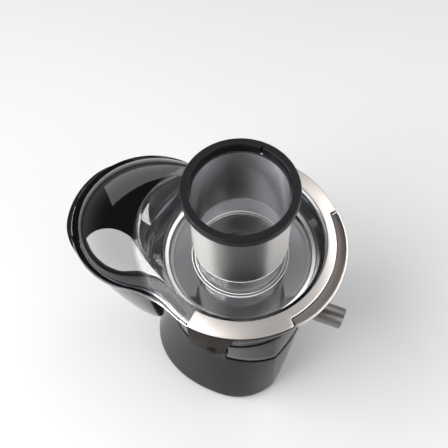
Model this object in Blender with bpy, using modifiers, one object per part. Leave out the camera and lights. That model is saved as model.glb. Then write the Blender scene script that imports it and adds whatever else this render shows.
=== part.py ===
"""Centrifugal juicer: motor base, steel collar, juice bowl with spout, spinning filter basket,
clear cover with feed tube and pulp hood, swinging locking arm and rear pulp container.

Units are metres, +Z is up. The floor is z = 0 and the origin is the middle of the footprint box.
The spout points along -Y and the pulp container stands at +Y. Every piece is placed about the
vertical spindle axis, which stands at (0, SPINDLE_Y).
"""

import math

import bmesh
import bpy
from mathutils import Matrix, Vector

MM = 0.001
GAP = 0.3 * MM

# Driving dimensions
HEIGHT = 339 * MM
FLANGE_R = 88 * MM
HOOD_R = 75 * MM
HOOD_CENTRE = 96 * MM
WAIST_R = 95 * MM
SPOUT_REACH = 112.4 * MM
CONTAINER_Y_TOP = 96.5 * MM
CONTAINER_R_TOP = 73 * MM
LIP = 7 * MM
SPINDLE_Y = (SPOUT_REACH - CONTAINER_Y_TOP - CONTAINER_R_TOP - LIP) / 2

# Heights above the floor
FOOT_TOP = 5 * MM
BASE_TOP = 130 * MM
COLLAR_TOP = 165 * MM
BOWL_RIM = 220 * MM
FLANGE_TOP = 224.5 * MM
DISC_TOP = 222 * MM
CREST_FRONT = 249.5 * MM
CREST_REAR = 252.5 * MM
ARM_TOP = 251 * MM
SLEEVE_LOW = 252 * MM
TUBE_LOW = 189 * MM
RIM_HEIGHT = 9.5 * MM

# Radii about the spindle
TUBE_IN = 40.6 * MM
TUBE_OUT = 42.6 * MM
SLEEVE_R = 43.8 * MM
RIM_IN = 42 * MM
RIM_OUT = 48.9 * MM
BEAD_IN = 68 * MM
BEAD_OUT = 71.5 * MM
CREST_R_FRONT = 76.5 * MM
CREST_R_REAR = 98 * MM
COLLAR_R_TOP = 75.5 * MM
WALL = 2.4 * MM

# Base outline, from the spindle, at its top and at its foot
SIDE_TOP = 75.5 * MM
SIDE_FOOT = 84 * MM
REAR_TOP = 73.5 * MM
REAR_FOOT = 101 * MM
FRONT_TOP = 72.5 * MM
FRONT_FOOT = 65.5 * MM
CREASE_X_TOP = 57 * MM
CREASE_X_FOOT = 50.5 * MM
CREASE_Y = 60.2 * MM
SQUARENESS = 2.3
COLLAR_WALL = 1.6 * MM
COLLAR_INSET = 0.6 * MM

# Locking arm
ARM_IN = 79.6 * MM
ARM_OUT = 94.5 * MM
ARM_HALF_ANGLE = math.radians(98)
GRIP_HALF_ANGLE = math.radians(39)
GRIP_STEP = math.radians(1.5)
EAR_START = math.radians(72)
EAR_FULL = math.radians(80)
EAR_LOW = 200 * MM
SKIRT = 7 * MM
GRIP_IN = 87.5 * MM
GRIP_OUT_END = 93.4 * MM
GRIP_OUT_MIDDLE = 96.4 * MM
ARM_SKIN = 2.2 * MM
ARM_BEVEL = 0.6 * MM
PIVOT_FORWARD = 8 * MM
PIVOT_Z = 207 * MM

# Drive
SHAFT_R = 4 * MM
BASKET_FLOOR = 183 * MM
BASKET_R_LOW = 41.5 * MM
BASKET_R_TOP = 66 * MM
BASKET_TOP = 214 * MM
GRATER_TOP = BASKET_FLOOR + 1.8 * MM
HUB_R = 19.5 * MM
CHIMNEY_R = 13.2 * MM
SHAFT_LOW = 13 * MM
SHAFT_TOP = 149 * MM

# Motor and its deck
DECK_R = 61.7 * MM
DECK_TOP = BASE_TOP
DECK_THICKNESS = 2.6 * MM
BOSS_R = 12 * MM
BORE_R = 9.5 * MM
CORE_LOW = 50 * MM
CORE_TOP = 88 * MM
WINDING_IN = 22.5 * MM
WINDING_OUT = 32 * MM
WINDING_HEIGHT = 10 * MM
UPPER_BRACKET = 101 * MM
LOWER_BRACKET = 17 * MM
BRACKET_HEIGHT = 5 * MM
BRACKET_R = 44 * MM
BEARING_R = 11 * MM
COMMUTATOR_Z = 31 * MM
MOTOR_MOUNT_R = 37 * MM
FAN_R = 27 * MM
FAN_PLATE = 1.5 * MM
FAN_HEIGHT = 9 * MM
FAN_BLADES = 9

# Spout
SPOUT_Z = 149 * MM
SPOUT_R = 11 * MM
SPOUT_START = 82 * MM
SPOUT_ROOT_R = 12.8 * MM
SPOUT_BORE_R = 8 * MM
SPOUT_LEAN = 2.8 * MM

# Control knob and lamp on the +X side, and the cord gland at the rear
KNOB_Z = 72 * MM
KNOB_TIP = 96.5 * MM
BEZEL_R = 17 * MM
BEZEL_FACE = 84 * MM
LENS_R = 3 * MM
LENS_Z = 98 * MM
GLAND_R = 6.5 * MM
GLAND_Z = 24 * MM
GLAND_Y = 97 * MM
THROUGH = 60 * MM

# Feet and base screws, as (x, y) from the spindle
FOOT_PLACES = [(-50 * MM, -40 * MM), (50 * MM, -40 * MM), (-52 * MM, 62 * MM), (52 * MM, 62 * MM)]
SCREW_PLACES = [(-46 * MM, -20 * MM), (46 * MM, -20 * MM), (-46 * MM, 44 * MM), (46 * MM, 44 * MM)]

# Pulp container
CONTAINER_TOP = BOWL_RIM - GAP
CONTAINER_LOW = 88 * MM
CONTAINER_R_LOW = 47 * MM
CONTAINER_Y_LOW = 87 * MM
CONTAINER_HOLLOW_TOP = 90.5 * MM
CONTAINER_HOLLOW_LOW = 85.5 * MM
LIP_FULL = math.radians(20)
LIP_END = math.radians(65)
LIP_DEPTH = 6.5 * MM
LIP_RAMP = 9 * MM
LUG_SIZE = (6.5 * MM, 24 * MM, 12 * MM)
LUG_PLACE = (67.6 * MM, 73 * MM, 210 * MM)

SEGMENTS = 36
FEW = 24


# Scene helpers

def clear_scene():
    for obj in list(bpy.data.objects):
        bpy.data.objects.remove(obj, do_unlink=True)


def collection(name):
    made = bpy.data.collections.new(name)
    bpy.context.scene.collection.children.link(made)
    return made


def material(name, colour, roughness, metallic=0.0, alpha=1.0):
    made = bpy.data.materials.new(name)
    made.use_nodes = True
    shader = made.node_tree.nodes["Principled BSDF"]
    shader.inputs["Base Color"].default_value = (*colour, 1)
    shader.inputs["Roughness"].default_value = roughness
    shader.inputs["Metallic"].default_value = metallic
    shader.inputs["Alpha"].default_value = alpha
    return made


def new_object(name, mesh, mat, parent):
    obj = bpy.data.objects.new(name, mesh)
    PARTS.objects.link(obj)
    obj.parent = parent
    if mat:
        mesh.materials.append(mat)
    return obj


def smooth(mesh, angle=35):
    mesh.shade_smooth()
    mesh.set_sharp_from_angle(angle=math.radians(angle))


def mesh_from(name, bm):
    bmesh.ops.recalc_face_normals(bm, faces=bm.faces)
    mesh = bpy.data.meshes.new(name)
    bm.to_mesh(mesh)
    bm.free()
    smooth(mesh)
    return mesh


def turned(name, profile, mat, parent, steps=SEGMENTS):
    """A turned solid. A profile that touches the axis is open, and any other is a closed loop.

    It runs down its outer side, so a closed loop goes clockwise seen with the radius to the right.
    """
    mesh = bpy.data.meshes.new(name)
    edges = [(i, i + 1) for i in range(len(profile) - 1)]
    if profile[0][0] > 0:
        edges.append((len(profile) - 1, 0))
    mesh.from_pydata([(r, 0, z) for r, z in profile], edges, [])
    obj = new_object(name, mesh, mat, parent)
    screw = obj.modifiers.new("Turn", "SCREW")
    screw.steps = screw.render_steps = steps
    screw.use_merge_vertices = True
    screw.merge_threshold = 0.00005
    return obj


def ring(name, r_in, r_out, low, high, mat, parent, steps=SEGMENTS):
    profile = [(r_in, high), (r_out, high), (r_out, low), (r_in, low)]
    return turned(name, profile, mat, parent, steps)


def disc(name, radius, low, high, mat, parent, steps=SEGMENTS):
    profile = [(0, high), (radius, high), (radius, low), (0, low)]
    return turned(name, profile, mat, parent, steps)


def loft(name, rings, mat, parent, closed):
    """Skins equal rings of points. A closed loft joins its last ring to its first, an open one is capped."""
    bm = bmesh.new()
    rows = [[bm.verts.new(point) for point in points] for points in rings]
    count = len(rows[0])
    pairs = list(zip(rows, rows[1:]))
    if closed:
        pairs.append((rows[-1], rows[0]))
    else:
        bm.faces.new(rows[0][::-1])
        bm.faces.new(rows[-1])
    for low, high in pairs:
        for i in range(count):
            j = (i + 1) % count
            bm.faces.new((low[i], low[j], high[j], high[i]))
    return new_object(name, mesh_from(name, bm), mat, parent)


def add_box(bm, size, centre):
    made = bmesh.ops.create_cube(bm, size=1)
    bmesh.ops.scale(bm, vec=size, verts=made["verts"])
    bmesh.ops.translate(bm, vec=centre, verts=made["verts"])
    return made["verts"]


def add_rod(bm, radius, length, centre, axis="Z", segments=20, end_radius=None):
    """A cylinder, or a cone when end_radius is given, centred on centre with its length along axis."""
    turn = {"X": Matrix.Rotation(math.pi / 2, 3, "Y"), "Y": Matrix.Rotation(math.pi / 2, 3, "X")}
    made = bmesh.ops.create_cone(
        bm, cap_ends=True, segments=segments, radius1=radius,
        radius2=radius if end_radius is None else end_radius, depth=length,
    )
    if axis in turn:
        bmesh.ops.rotate(bm, cent=(0, 0, 0), matrix=turn[axis], verts=made["verts"])
    bmesh.ops.translate(bm, vec=centre, verts=made["verts"])
    return made["verts"]


def solid(name, build, mat, parent):
    """One object from the primitive that build adds to a bmesh."""
    bm = bmesh.new()
    build(bm)
    return new_object(name, mesh_from(name, bm), mat, parent)


def copies(name, places, build, mat, parent):
    """The same solid at each place, numbered from 1, all sharing one mesh."""
    first = solid(f"{name}_1", build, None, parent)
    first.data.materials.append(mat)
    made = [first] + [
        new_object(f"{name}_{i + 2}", first.data, None, parent) for i in range(len(places) - 1)
    ]
    for obj, place in zip(made, places):
        obj.location = place
    return made


def cut(obj, name, build, operation="DIFFERENCE"):
    """Cuts obj with the primitives that build adds, or joins them to it."""
    bm = bmesh.new()
    build(bm)
    tool = bpy.data.objects.new(name, mesh_from(name, bm))
    CUTTERS.objects.link(tool)
    tool.parent = obj.parent
    tool.display_type = "WIRE"
    tool.hide_render = True
    boolean = obj.modifiers.new(name, "BOOLEAN")
    boolean.operation = operation
    boolean.solver = "EXACT"
    boolean.object = tool


def mix(a, b, t):
    return a + (b - a) * t


def ease(t):
    """0 below t = 0 and 1 above t = 1, with a smooth change between."""
    t = min(1, max(0, t))
    return t * t * (3 - 2 * t)


def circle_points(radius, count, start=0.0):
    steps = [start + 2 * math.pi * i / count for i in range(count)]
    return [(radius * math.cos(a), radius * math.sin(a)) for a in steps]


def empty(name, location, parent=None):
    made = bpy.data.objects.new(name, None)
    PARTS.objects.link(made)
    made.parent = parent
    made.location = location
    return made


# Outlines

def waist_centre():
    """The centre of the concave waist arc, which touches the bowl circle and the hood circle."""
    to_bowl = FLANGE_R + WAIST_R
    to_hood = HOOD_R + WAIST_R
    y = (to_bowl ** 2 - to_hood ** 2 + HOOD_CENTRE ** 2) / (2 * HOOD_CENTRE)
    return math.sqrt(to_bowl ** 2 - y ** 2), y


def waist_angles():
    """The angles from +Y at which the outline passes from hood to waist and from waist to bowl."""
    x, y = waist_centre()
    share = HOOD_R / (HOOD_R + WAIST_R)
    hood_end = math.atan2(x * share, HOOD_CENTRE + (y - HOOD_CENTRE) * share)
    return hood_end, math.atan2(x, y)


def flange_radius(angle):
    """The cover's outline as a radius about the spindle, at an angle from +Y between -pi and pi."""
    hood_end, bowl_start = waist_angles()
    turn = abs(angle)
    if turn >= bowl_start:
        return FLANGE_R
    if turn >= hood_end:
        x, y = waist_centre()
        along = x * math.sin(turn) + y * math.cos(turn)
        return along - math.sqrt(along ** 2 - (x * x + y * y - WAIST_R ** 2))
    along = HOOD_CENTRE * math.cos(turn)
    return along + math.sqrt(along ** 2 - (HOOD_CENTRE ** 2 - HOOD_R ** 2))


def outline_angles(hood_steps=16, waist_steps=3, bowl_steps=18):
    """Angles from +Y, closer together round the hood than round the bowl."""
    hood_end, bowl_start = waist_angles()
    half = [hood_end * i / (hood_steps / 2) for i in range(hood_steps // 2)]
    half += [mix(hood_end, bowl_start, i / waist_steps) for i in range(waist_steps)]
    half += [mix(bowl_start, math.pi, i / (bowl_steps / 2)) for i in range(bowl_steps // 2 + 1)]
    return half + [-angle for angle in half[-2:0:-1]]


def rearward(angle):
    """1 straight back over the hood, 0 round the bowl, with a smooth change between."""
    return ease(1 - abs(angle) / waist_angles()[1])


def base_section(z, inset=0.0, corner_count=6, rear_count=10, front_count=6):
    """The base outline at height z: squarish sides, a round rear and a bowed front between two creases."""
    drop = ((BASE_TOP - z) / (BASE_TOP - FOOT_TOP)) ** 1.1
    side = mix(SIDE_TOP, SIDE_FOOT, drop) - inset
    rear = mix(REAR_TOP, REAR_FOOT, drop) - inset
    front = mix(FRONT_TOP, FRONT_FOOT, drop) - inset
    crease_x = mix(CREASE_X_TOP, CREASE_X_FOOT, drop) - inset
    crease_y = CREASE_Y - inset
    depth = crease_y / (1 - (crease_x / side) ** SQUARENESS) ** (1 / SQUARENESS)
    power = 2 / SQUARENESS
    first = math.asin((crease_x / side) ** (1 / power))
    half = []
    for i in range(corner_count):
        turn = mix(first, math.pi / 2, i / corner_count)
        half.append((side * math.sin(turn) ** power, -depth * math.cos(turn) ** power))
    power = 2 / mix(2, 2.2, drop)
    for i in range(rear_count):
        turn = math.pi / 2 * i / rear_count
        half.append((side * math.cos(turn) ** power, rear * math.sin(turn) ** power))
    points = half + [(0, rear)] + [(-x, y) for x, y in half[::-1]]
    for i in range(1, front_count):
        share = mix(-1, 1, i / front_count)
        points.append((share * crease_x, mix(-front, -crease_y, share ** 2)))
    return [(x, y, z) for x, y in points]


def container_section(z, inset=0.0, lip=0.0, rear_count=24, front_count=10):
    """The pulp container's kidney outline at height z, with its hollow front round the housing.

    lip is how far the outline swells at the rear, where fingers pull the container out.
    """
    rise = (z - CONTAINER_LOW) / (CONTAINER_TOP - CONTAINER_LOW)
    radius = mix(CONTAINER_R_LOW, CONTAINER_R_TOP, max(rise, 0) ** 0.8) - inset
    centre = mix(CONTAINER_Y_LOW, CONTAINER_Y_TOP, rise)
    hollow = mix(CONTAINER_HOLLOW_LOW, CONTAINER_HOLLOW_TOP, rise) + inset
    y = (hollow ** 2 - radius ** 2 + centre ** 2) / (2 * centre)
    x = math.sqrt(hollow ** 2 - y ** 2)
    rear_half = math.atan2(x, y - centre)
    front_half = math.atan2(x, y)
    points = []
    for i in range(rear_count + 1):
        turn = mix(rear_half, -rear_half, i / rear_count)
        reach = radius + lip * ease((LIP_END - abs(turn)) / (LIP_END - LIP_FULL))
        points.append((reach * math.sin(turn), centre + reach * math.cos(turn), z))
    for i in range(1, front_count):
        turn = mix(-front_half, front_half, i / front_count)
        points.append((hollow * math.sin(turn), hollow * math.cos(turn), z))
    return points


# Base

def make_base(parent):
    outer = [FOOT_TOP, 38 * MM, 72 * MM, 104 * MM, BASE_TOP]
    shelf = DECK_R + 3 * GAP
    under = BASE_TOP - 3 * MM
    rings = [base_section(z) for z in outer]
    rings += [[(shelf * x, shelf * y, z) for x, y in unit_section()] for z in (BASE_TOP, under)]
    rings += [base_section(z, WALL) for z in (under, 104 * MM, 72 * MM, 38 * MM, FOOT_TOP)]
    shell = loft("base_shell", rings, BLACK_GLOSS, parent, closed=True)
    cut(shell, "bezel_hole", lambda bm: add_rod(
        bm, BEZEL_R + GAP, THROUGH, (BEZEL_FACE, 0, KNOB_Z), "X", 28))
    cut(shell, "lens_hole", lambda bm: add_rod(
        bm, LENS_R + GAP, THROUGH, (BEZEL_FACE, 0, LENS_Z), "X", 16))
    cut(shell, "gland_hole", lambda bm: add_rod(
        bm, GLAND_R + GAP, THROUGH, (0, GLAND_Y, GLAND_Z), "Y", 20))

    inset = WALL + GAP
    low, high = FOOT_TOP, FOOT_TOP + 3 * MM
    plate = loft("base_plate", [base_section(low, inset), base_section(high, inset)],
                 BLACK_MATTE, parent, closed=False)
    cut(plate, "vent_slots", vent_slots)
    foot_height = FOOT_TOP - GAP
    copies("rubber_foot", [(x, y, foot_height / 2) for x, y in FOOT_PLACES], lambda bm: add_rod(
        bm, 8.5 * MM, foot_height, (0, 0, 0), segments=20, end_radius=9.5 * MM), RUBBER, parent)
    copies("base_screw", [(x, y, foot_height - 0.8 * MM) for x, y in SCREW_PLACES], lambda bm: add_rod(
        bm, 3.4 * MM, 1.6 * MM, (0, 0, 0), segments=12), STEEL, parent)


def unit_section():
    """The directions of base_section's points at the top, as unit vectors."""
    return [Vector(point[:2]).normalized() for point in base_section(BASE_TOP)]


def vent_slots(bm):
    for i in range(-3, 4):
        add_box(bm, (5 * MM, 34 * MM, 12 * MM), (i * 11 * MM, 14 * MM, FOOT_TOP))


def make_collar(parent):
    """A band that is round under the bowl and takes the base's outline at its foot."""
    directions = unit_section()
    foot = BASE_TOP + GAP

    def band(inset):
        low = [(x, y, foot) for x, y, _ in base_section(BASE_TOP, COLLAR_INSET + inset)]
        high = [((COLLAR_R_TOP - inset) * x, (COLLAR_R_TOP - inset) * y, COLLAR_TOP) for x, y in directions]
        return low, high

    outer, inner = band(0), band(COLLAR_WALL)
    collar = loft("steel_collar", [*outer, *inner[::-1]], STEEL_DARK, parent, closed=True)

    radius = SPOUT_ROOT_R + 0.6 * MM
    cut(collar, "spout_notch", lambda bm: add_rod(bm, radius, 40 * MM, (0, -74 * MM, SPOUT_Z), "Y", 24))
    cut(collar, "spout_slot", lambda bm: add_box(
        bm, (2 * radius, 40 * MM, 30 * MM), (0, -74 * MM, SPOUT_Z + 15 * MM)))


def make_deck(parent):
    profile = [
        (BOSS_R, DECK_TOP + 7 * MM), (BOSS_R, DECK_TOP), (DECK_R, DECK_TOP),
        (DECK_R, DECK_TOP - DECK_THICKNESS), (BORE_R, DECK_TOP - DECK_THICKNESS), (BORE_R, DECK_TOP + 7 * MM),
    ]
    turned("motor_deck", profile, BLACK_MATTE, parent, FEW)

    ring("shaft_seal", SHAFT_R + 0.5 * MM, BORE_R - GAP, DECK_TOP + 1 * MM, DECK_TOP + 6 * MM,
         RUBBER, parent, FEW)


def make_pivot_posts(parent):
    """Two straps that rise from the collar, outside the bowl, and the pins that the arm swings on."""
    outline = [
        (76.6, 134), (77.4, 165), (88.3, 213.5), (91.0, 213.5), (91.0, 199), (80.8, 164), (79.6, 134),
    ]
    half_width = 7 * MM
    for i, side in enumerate((-1, 1)):
        rings = []
        for y in (-half_width, half_width):
            rings.append([(side * x * MM, y - PIVOT_FORWARD, z * MM) for x, z in outline])
        loft(f"pivot_post_{i + 1}", rings, BLACK_MATTE, parent, closed=False)
        pin = solid(f"arm_pivot_pin_{i + 1}", lambda bm: add_rod(
            bm, 3 * MM, 5 * MM, (0, 0, 0), "X", 20), STEEL, parent)
        pin.location = (side * 93.8 * MM, -PIVOT_FORWARD, PIVOT_Z)
        cut(pin, f"pin_head_{i + 1}", lambda bm: add_rod(bm, 5 * MM, 1.2 * MM, (
            side * 96.4 * MM, -PIVOT_FORWARD, PIVOT_Z), "X", 20), "UNION")


# Bowl and spout

def make_bowl(parent):
    profile = [
        (FLANGE_R, BOWL_RIM), (COLLAR_R_TOP, COLLAR_TOP + 1.2 * MM), (69.8 * MM, COLLAR_TOP),
        (69.8 * MM, 142 * MM), (67 * MM, 139 * MM), (CHIMNEY_R, 139 * MM), (CHIMNEY_R, 160 * MM),
        (CHIMNEY_R + 2.4 * MM, 160 * MM), (CHIMNEY_R + 2.4 * MM, 141.6 * MM), (65.5 * MM, 141.6 * MM),
        (67.4 * MM, 144 * MM), (67.4 * MM, 164 * MM), (73 * MM, 168.6 * MM), (85.5 * MM, BOWL_RIM),
    ]
    bowl = turned("juice_bowl", profile, BLACK_GLOSS, parent)
    cut(bowl, "spout_root", lambda bm: add_rod(
        bm, SPOUT_ROOT_R, 13.4 * MM, (0, -(SPOUT_START - 6.7 * MM), SPOUT_Z), "Y", 24), "UNION")
    cut(bowl, "spout_nozzle", lambda bm: add_rod(
        bm, SPOUT_R - 1.5 * MM, 30 * MM, (0, -(SPOUT_START + 3 * MM), SPOUT_Z), "Y", 24), "UNION")
    cut(bowl, "spout_bore", lambda bm: add_rod(
        bm, SPOUT_BORE_R, THROUGH, (0, -90 * MM, SPOUT_Z), "Y", 20))
    gasket = [(81.4 * MM, 219.6 * MM), (83.8 * MM, 219.6 * MM), (83.6 * MM, 215.4 * MM),
              (81.4 * MM, 215.4 * MM)]
    turned("cover_gasket", gasket, RUBBER, parent)
    make_spout_sleeve(parent)


def make_spout_sleeve(parent):
    """The steel tube over the spout, whose mouth leans back from its top to its bottom."""
    start, end = SPOUT_START + GAP, SPOUT_REACH
    rings = []
    for radius, mouth in ((SPOUT_R, False), (SPOUT_R, True), (SPOUT_R - 1.1 * MM, True),
                          (SPOUT_R - 1.1 * MM, False)):
        points = []
        for x, z in circle_points(radius, 28):
            reach = end - SPOUT_LEAN * (SPOUT_R - z) / (2 * SPOUT_R) if mouth else start
            points.append((x, -reach, SPOUT_Z + z))
        rings.append(points)
    loft("spout_sleeve", rings, STEEL, parent, closed=True)


# Cover and feed tube

def cover_profile(angle):
    """The cover's section at an angle from +Y, as (radius, z): up its top side and back below."""
    back = rearward(angle)
    crest_r = mix(CREST_R_FRONT, CREST_R_REAR, back)
    crest_z = mix(CREST_FRONT, CREST_REAR, back)
    edge = flange_radius(angle)
    shoulder = edge - 2.6 * MM
    foot = DISC_TOP + 0.6 * MM

    def wall(t, skin):
        lift = math.sin(t * math.pi / 2)
        return (mix(BEAD_OUT + skin, crest_r, t), mix(foot, crest_z - skin, mix(t, lift, 0.6)))

    def dome(s, skin):
        fall = mix(1 - s, (1 - s ** 2.2) ** 0.75, mix(0.35, 1, back))
        return (mix(crest_r, shoulder - skin, s), mix(FLANGE_TOP, crest_z - skin, fall))

    top_steps = (0.3, 0.6, 0.85, 1)
    points = [(TUBE_IN, HEIGHT - RIM_HEIGHT - GAP), (TUBE_OUT, HEIGHT - RIM_HEIGHT - GAP),
              (TUBE_OUT, DISC_TOP), (BEAD_IN, DISC_TOP), (BEAD_IN + 0.9 * MM, DISC_TOP + 1.4 * MM),
              (BEAD_OUT - 0.9 * MM, DISC_TOP + 1.4 * MM)]
    points += [wall(t, 0) for t in (0.0, 0.35, 0.7, 1.0)]
    points += [dome(s, 0) for s in top_steps]
    points += [(edge, FLANGE_TOP - 0.8 * MM), (edge, BOWL_RIM + GAP), (shoulder - WALL, BOWL_RIM + GAP)]
    points += [dome(s, WALL) for s in top_steps[:-1][::-1]]
    points += [wall(t, WALL) for t in (1.0, 0.5)]
    points += [(BEAD_OUT + WALL, DISC_TOP - 2 * MM), (TUBE_OUT, DISC_TOP - 2 * MM), (TUBE_OUT, TUBE_LOW),
               (TUBE_IN, TUBE_LOW)]
    return points


def make_cover(parent):
    angles = outline_angles()
    profiles = [cover_profile(angle) for angle in angles]
    rings = []
    for k in range(len(profiles[0])):
        rings.append([
            (profile[k][0] * math.sin(angle), profile[k][0] * math.cos(angle), profile[k][1])
            for angle, profile in zip(angles, profiles)
        ])
    loft("cover", rings, CLEAR, parent, closed=True)
    top = HEIGHT - RIM_HEIGHT - GAP
    ring("feed_sleeve", TUBE_OUT + GAP, SLEEVE_R, SLEEVE_LOW, top, STEEL, parent)
    low = HEIGHT - RIM_HEIGHT
    profile = [
        (RIM_IN, HEIGHT - 0.8 * MM), (RIM_IN + 0.8 * MM, HEIGHT), (RIM_OUT - 1.2 * MM, HEIGHT),
        (RIM_OUT, HEIGHT - 1.2 * MM), (RIM_OUT, low), (RIM_IN, low),
    ]
    turned("feed_rim", profile, BLACK_MATTE, parent)


# Locking arm

def arc_rings(section, turns):
    """Cross-sections about the spindle at each turn, an angle measured from the spout side."""
    return [
        [(r * math.sin(turn), -r * math.cos(turn), z) for r, z in section(turn)] for turn in turns
    ]


def arm_turns():
    """Where the arm's cross-sections stand, with pairs where its edge steps and its ears begin."""
    step_end = GRIP_HALF_ANGLE + GRIP_STEP
    half = [GRIP_HALF_ANGLE * i / 10 for i in range(11)]
    half += [mix(step_end, EAR_START, i / 7) for i in range(7)]
    half += [mix(EAR_START, EAR_FULL, i / 2) for i in range(2)]
    half += [mix(EAR_FULL, ARM_HALF_ANGLE, i / 4) for i in range(5)]
    return [-turn for turn in half[:0:-1]] + half


def grip_turns():
    half = GRIP_HALF_ANGLE - math.radians(0.4)
    return [half * i / 10 for i in range(-10, 11)]


def arm_top(radius):
    return ARM_TOP - 0.2 * (radius - ARM_IN)


def ear_drop(turn):
    """How far the arm's skirt hangs down: short in front, and long at the two ears."""
    t = min(1, max(0, (abs(turn) - EAR_START) / (EAR_FULL - EAR_START)))
    return mix(SKIRT, ARM_TOP - EAR_LOW, t)


def grip_bulge(turn):
    """0 at the ends of the finger grip and 1 in its middle."""
    t = max(0, 1 - (turn / GRIP_HALF_ANGLE) ** 2)
    return math.sqrt(t)


def arm_edge(turn):
    """The steel ring's outer radius, which steps in where the finger grip is."""
    t = min(1, max(0, (abs(turn) - GRIP_HALF_ANGLE) / GRIP_STEP))
    return mix(GRIP_IN, ARM_OUT, t)


def arm_section(turn):
    edge = arm_edge(turn)
    side = edge + ARM_BEVEL
    low = ARM_TOP - ear_drop(turn)
    return [
        (ARM_IN, arm_top(ARM_IN)), (edge, arm_top(edge)), (side, arm_top(edge) - 2 * ARM_BEVEL),
        (side, low), (side - ARM_SKIN, low),
        (side - ARM_SKIN, arm_top(edge) - WALL), (ARM_IN, arm_top(ARM_IN) - WALL),
    ]


def make_arm(parent):
    """Built in the spindle's frame, then moved so that its parent empty lies on the pivot axis."""
    back = Vector((0, PIVOT_FORWARD, -PIVOT_Z))
    made = loft("arm_ring", arc_rings(arm_section, arm_turns()), STEEL_SATIN, parent, closed=False)
    made.location = back
    cut(made, "pivot_holes", lambda bm: add_rod(
        bm, 3.4 * MM, 220 * MM, (0, 0, 0), "X", 20))

    def grip_section(turn):
        inner = GRIP_IN + ARM_BEVEL + GAP
        outer = mix(GRIP_OUT_END, GRIP_OUT_MIDDLE, grip_bulge(turn))
        high = arm_top(90 * MM) - 2.2 * MM
        return [(inner, high), (outer, high), (outer, high - 3 * MM), (inner, high - 3 * MM)]

    def trim_section(turn):
        inner = mix(GRIP_OUT_END, GRIP_OUT_MIDDLE, grip_bulge(turn)) + GAP
        outer = inner + 1.8 * MM
        high = arm_top(90 * MM) - 0.6 * MM
        return [(inner, high), (outer, high - 0.5 * MM), (outer, high - 5 * MM), (inner, high - 5 * MM)]

    grip = loft("arm_grip", arc_rings(grip_section, grip_turns()), GREY_BROWN, parent, closed=False)
    trim = loft("grip_trim", arc_rings(trim_section, grip_turns()), STEEL, parent, closed=False)
    grip.location = trim.location = back


# Motor

def make_motor(parent):
    def core(bm):
        add_box(bm, (80 * MM, 72 * MM, CORE_TOP - CORE_LOW), (0, 0, (CORE_TOP + CORE_LOW) / 2))

    stator = solid("stator_core", core, STEEL_DARK, parent)
    cut(stator, "rotor_bore", lambda bm: add_rod(bm, 21.5 * MM, 100 * MM, (0, 0, CORE_LOW), segments=FEW))

    for name, low, high in (("upper_windings", CORE_TOP + GAP, CORE_TOP + WINDING_HEIGHT),
                            ("lower_windings", CORE_LOW - WINDING_HEIGHT, CORE_LOW - GAP)):
        ring(name, WINDING_IN, WINDING_OUT, low, high, COPPER, parent, FEW)
    for name, low in (("upper_bracket", UPPER_BRACKET), ("lower_bracket", LOWER_BRACKET)):
        ring(name, BEARING_R + GAP, BRACKET_R, low, low + BRACKET_HEIGHT, ALUMINIUM, parent, FEW)
    for name, low in (("upper_bearing", UPPER_BRACKET), ("lower_bearing", LOWER_BRACKET)):
        ring(name, SHAFT_R + 0.1 * MM, BEARING_R, low, low + BRACKET_HEIGHT, STEEL, parent, FEW)

    low, high = UPPER_BRACKET + BRACKET_HEIGHT + GAP, DECK_TOP - DECK_THICKNESS - GAP
    places = [(x, y, (low + high) / 2) for x, y in circle_points(MOTOR_MOUNT_R, 4, math.pi / 4)]
    copies("motor_mount", places, lambda bm: add_rod(
        bm, 5.5 * MM, high - low, (0, 0, 0), segments=16), RUBBER, parent)

    for i, side in enumerate((-1, 1)):
        made = solid(f"brush_holder_{i + 1}", lambda bm: add_box(
            bm, (16 * MM, 11 * MM, 11 * MM), (side * 27 * MM, 0, COMMUTATOR_Z)), BRASS, parent)
        cut(made, f"brush_pocket_{i + 1}", lambda bm: add_box(
            bm, (13 * MM, 7 * MM, 7 * MM), (side * 24 * MM, 0, COMMUTATOR_Z)))
        solid(f"carbon_brush_{i + 1}", lambda bm: add_box(
            bm, (16 * MM, 6 * MM, 6 * MM), (side * 21.6 * MM, 0, COMMUTATOR_Z)), CARBON, parent)


def make_controls(parent):
    def board(bm):
        add_box(bm, (1.6 * MM, 56 * MM, 34 * MM), (58 * MM, 0, 106 * MM))

    solid("control_board", board, BOARD_GREEN, parent)

    def switch(bm):
        add_box(bm, (12 * MM, 26 * MM, 22 * MM), (54 * MM, 0, KNOB_Z))

    solid("rotary_switch", switch, BLACK_MATTE, parent)

    def microswitch(bm):
        add_box(bm, (6 * MM, 20 * MM, 10 * MM), (64 * MM, -8 * MM, 119 * MM))

    solid("interlock_switch", microswitch, RED, parent)

    def bezel(bm):
        add_rod(bm, BEZEL_R, 16 * MM, (BEZEL_FACE - 8 * MM, 0, KNOB_Z), "X", 28)

    made = solid("dial_bezel", bezel, BLACK_MATTE, parent)
    cut(made, "bezel_bore", lambda bm: add_rod(bm, 4 * MM, THROUGH, (BEZEL_FACE, 0, KNOB_Z), "X", 20))

    def lens(bm):
        add_rod(bm, LENS_R, 8 * MM, (80.5 * MM, 0, LENS_Z), "X", 16)

    solid("indicator_lens", lens, LENS, parent)

    def gland(bm):
        add_rod(bm, GLAND_R, 14 * MM, (0, GLAND_Y, GLAND_Z), "Y", 20)

    made = solid("cord_gland", gland, RUBBER, parent)
    cut(made, "cord_bore", lambda bm: add_rod(bm, 3.7 * MM, THROUGH, (0, GLAND_Y, GLAND_Z), "Y", 16))


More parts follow.
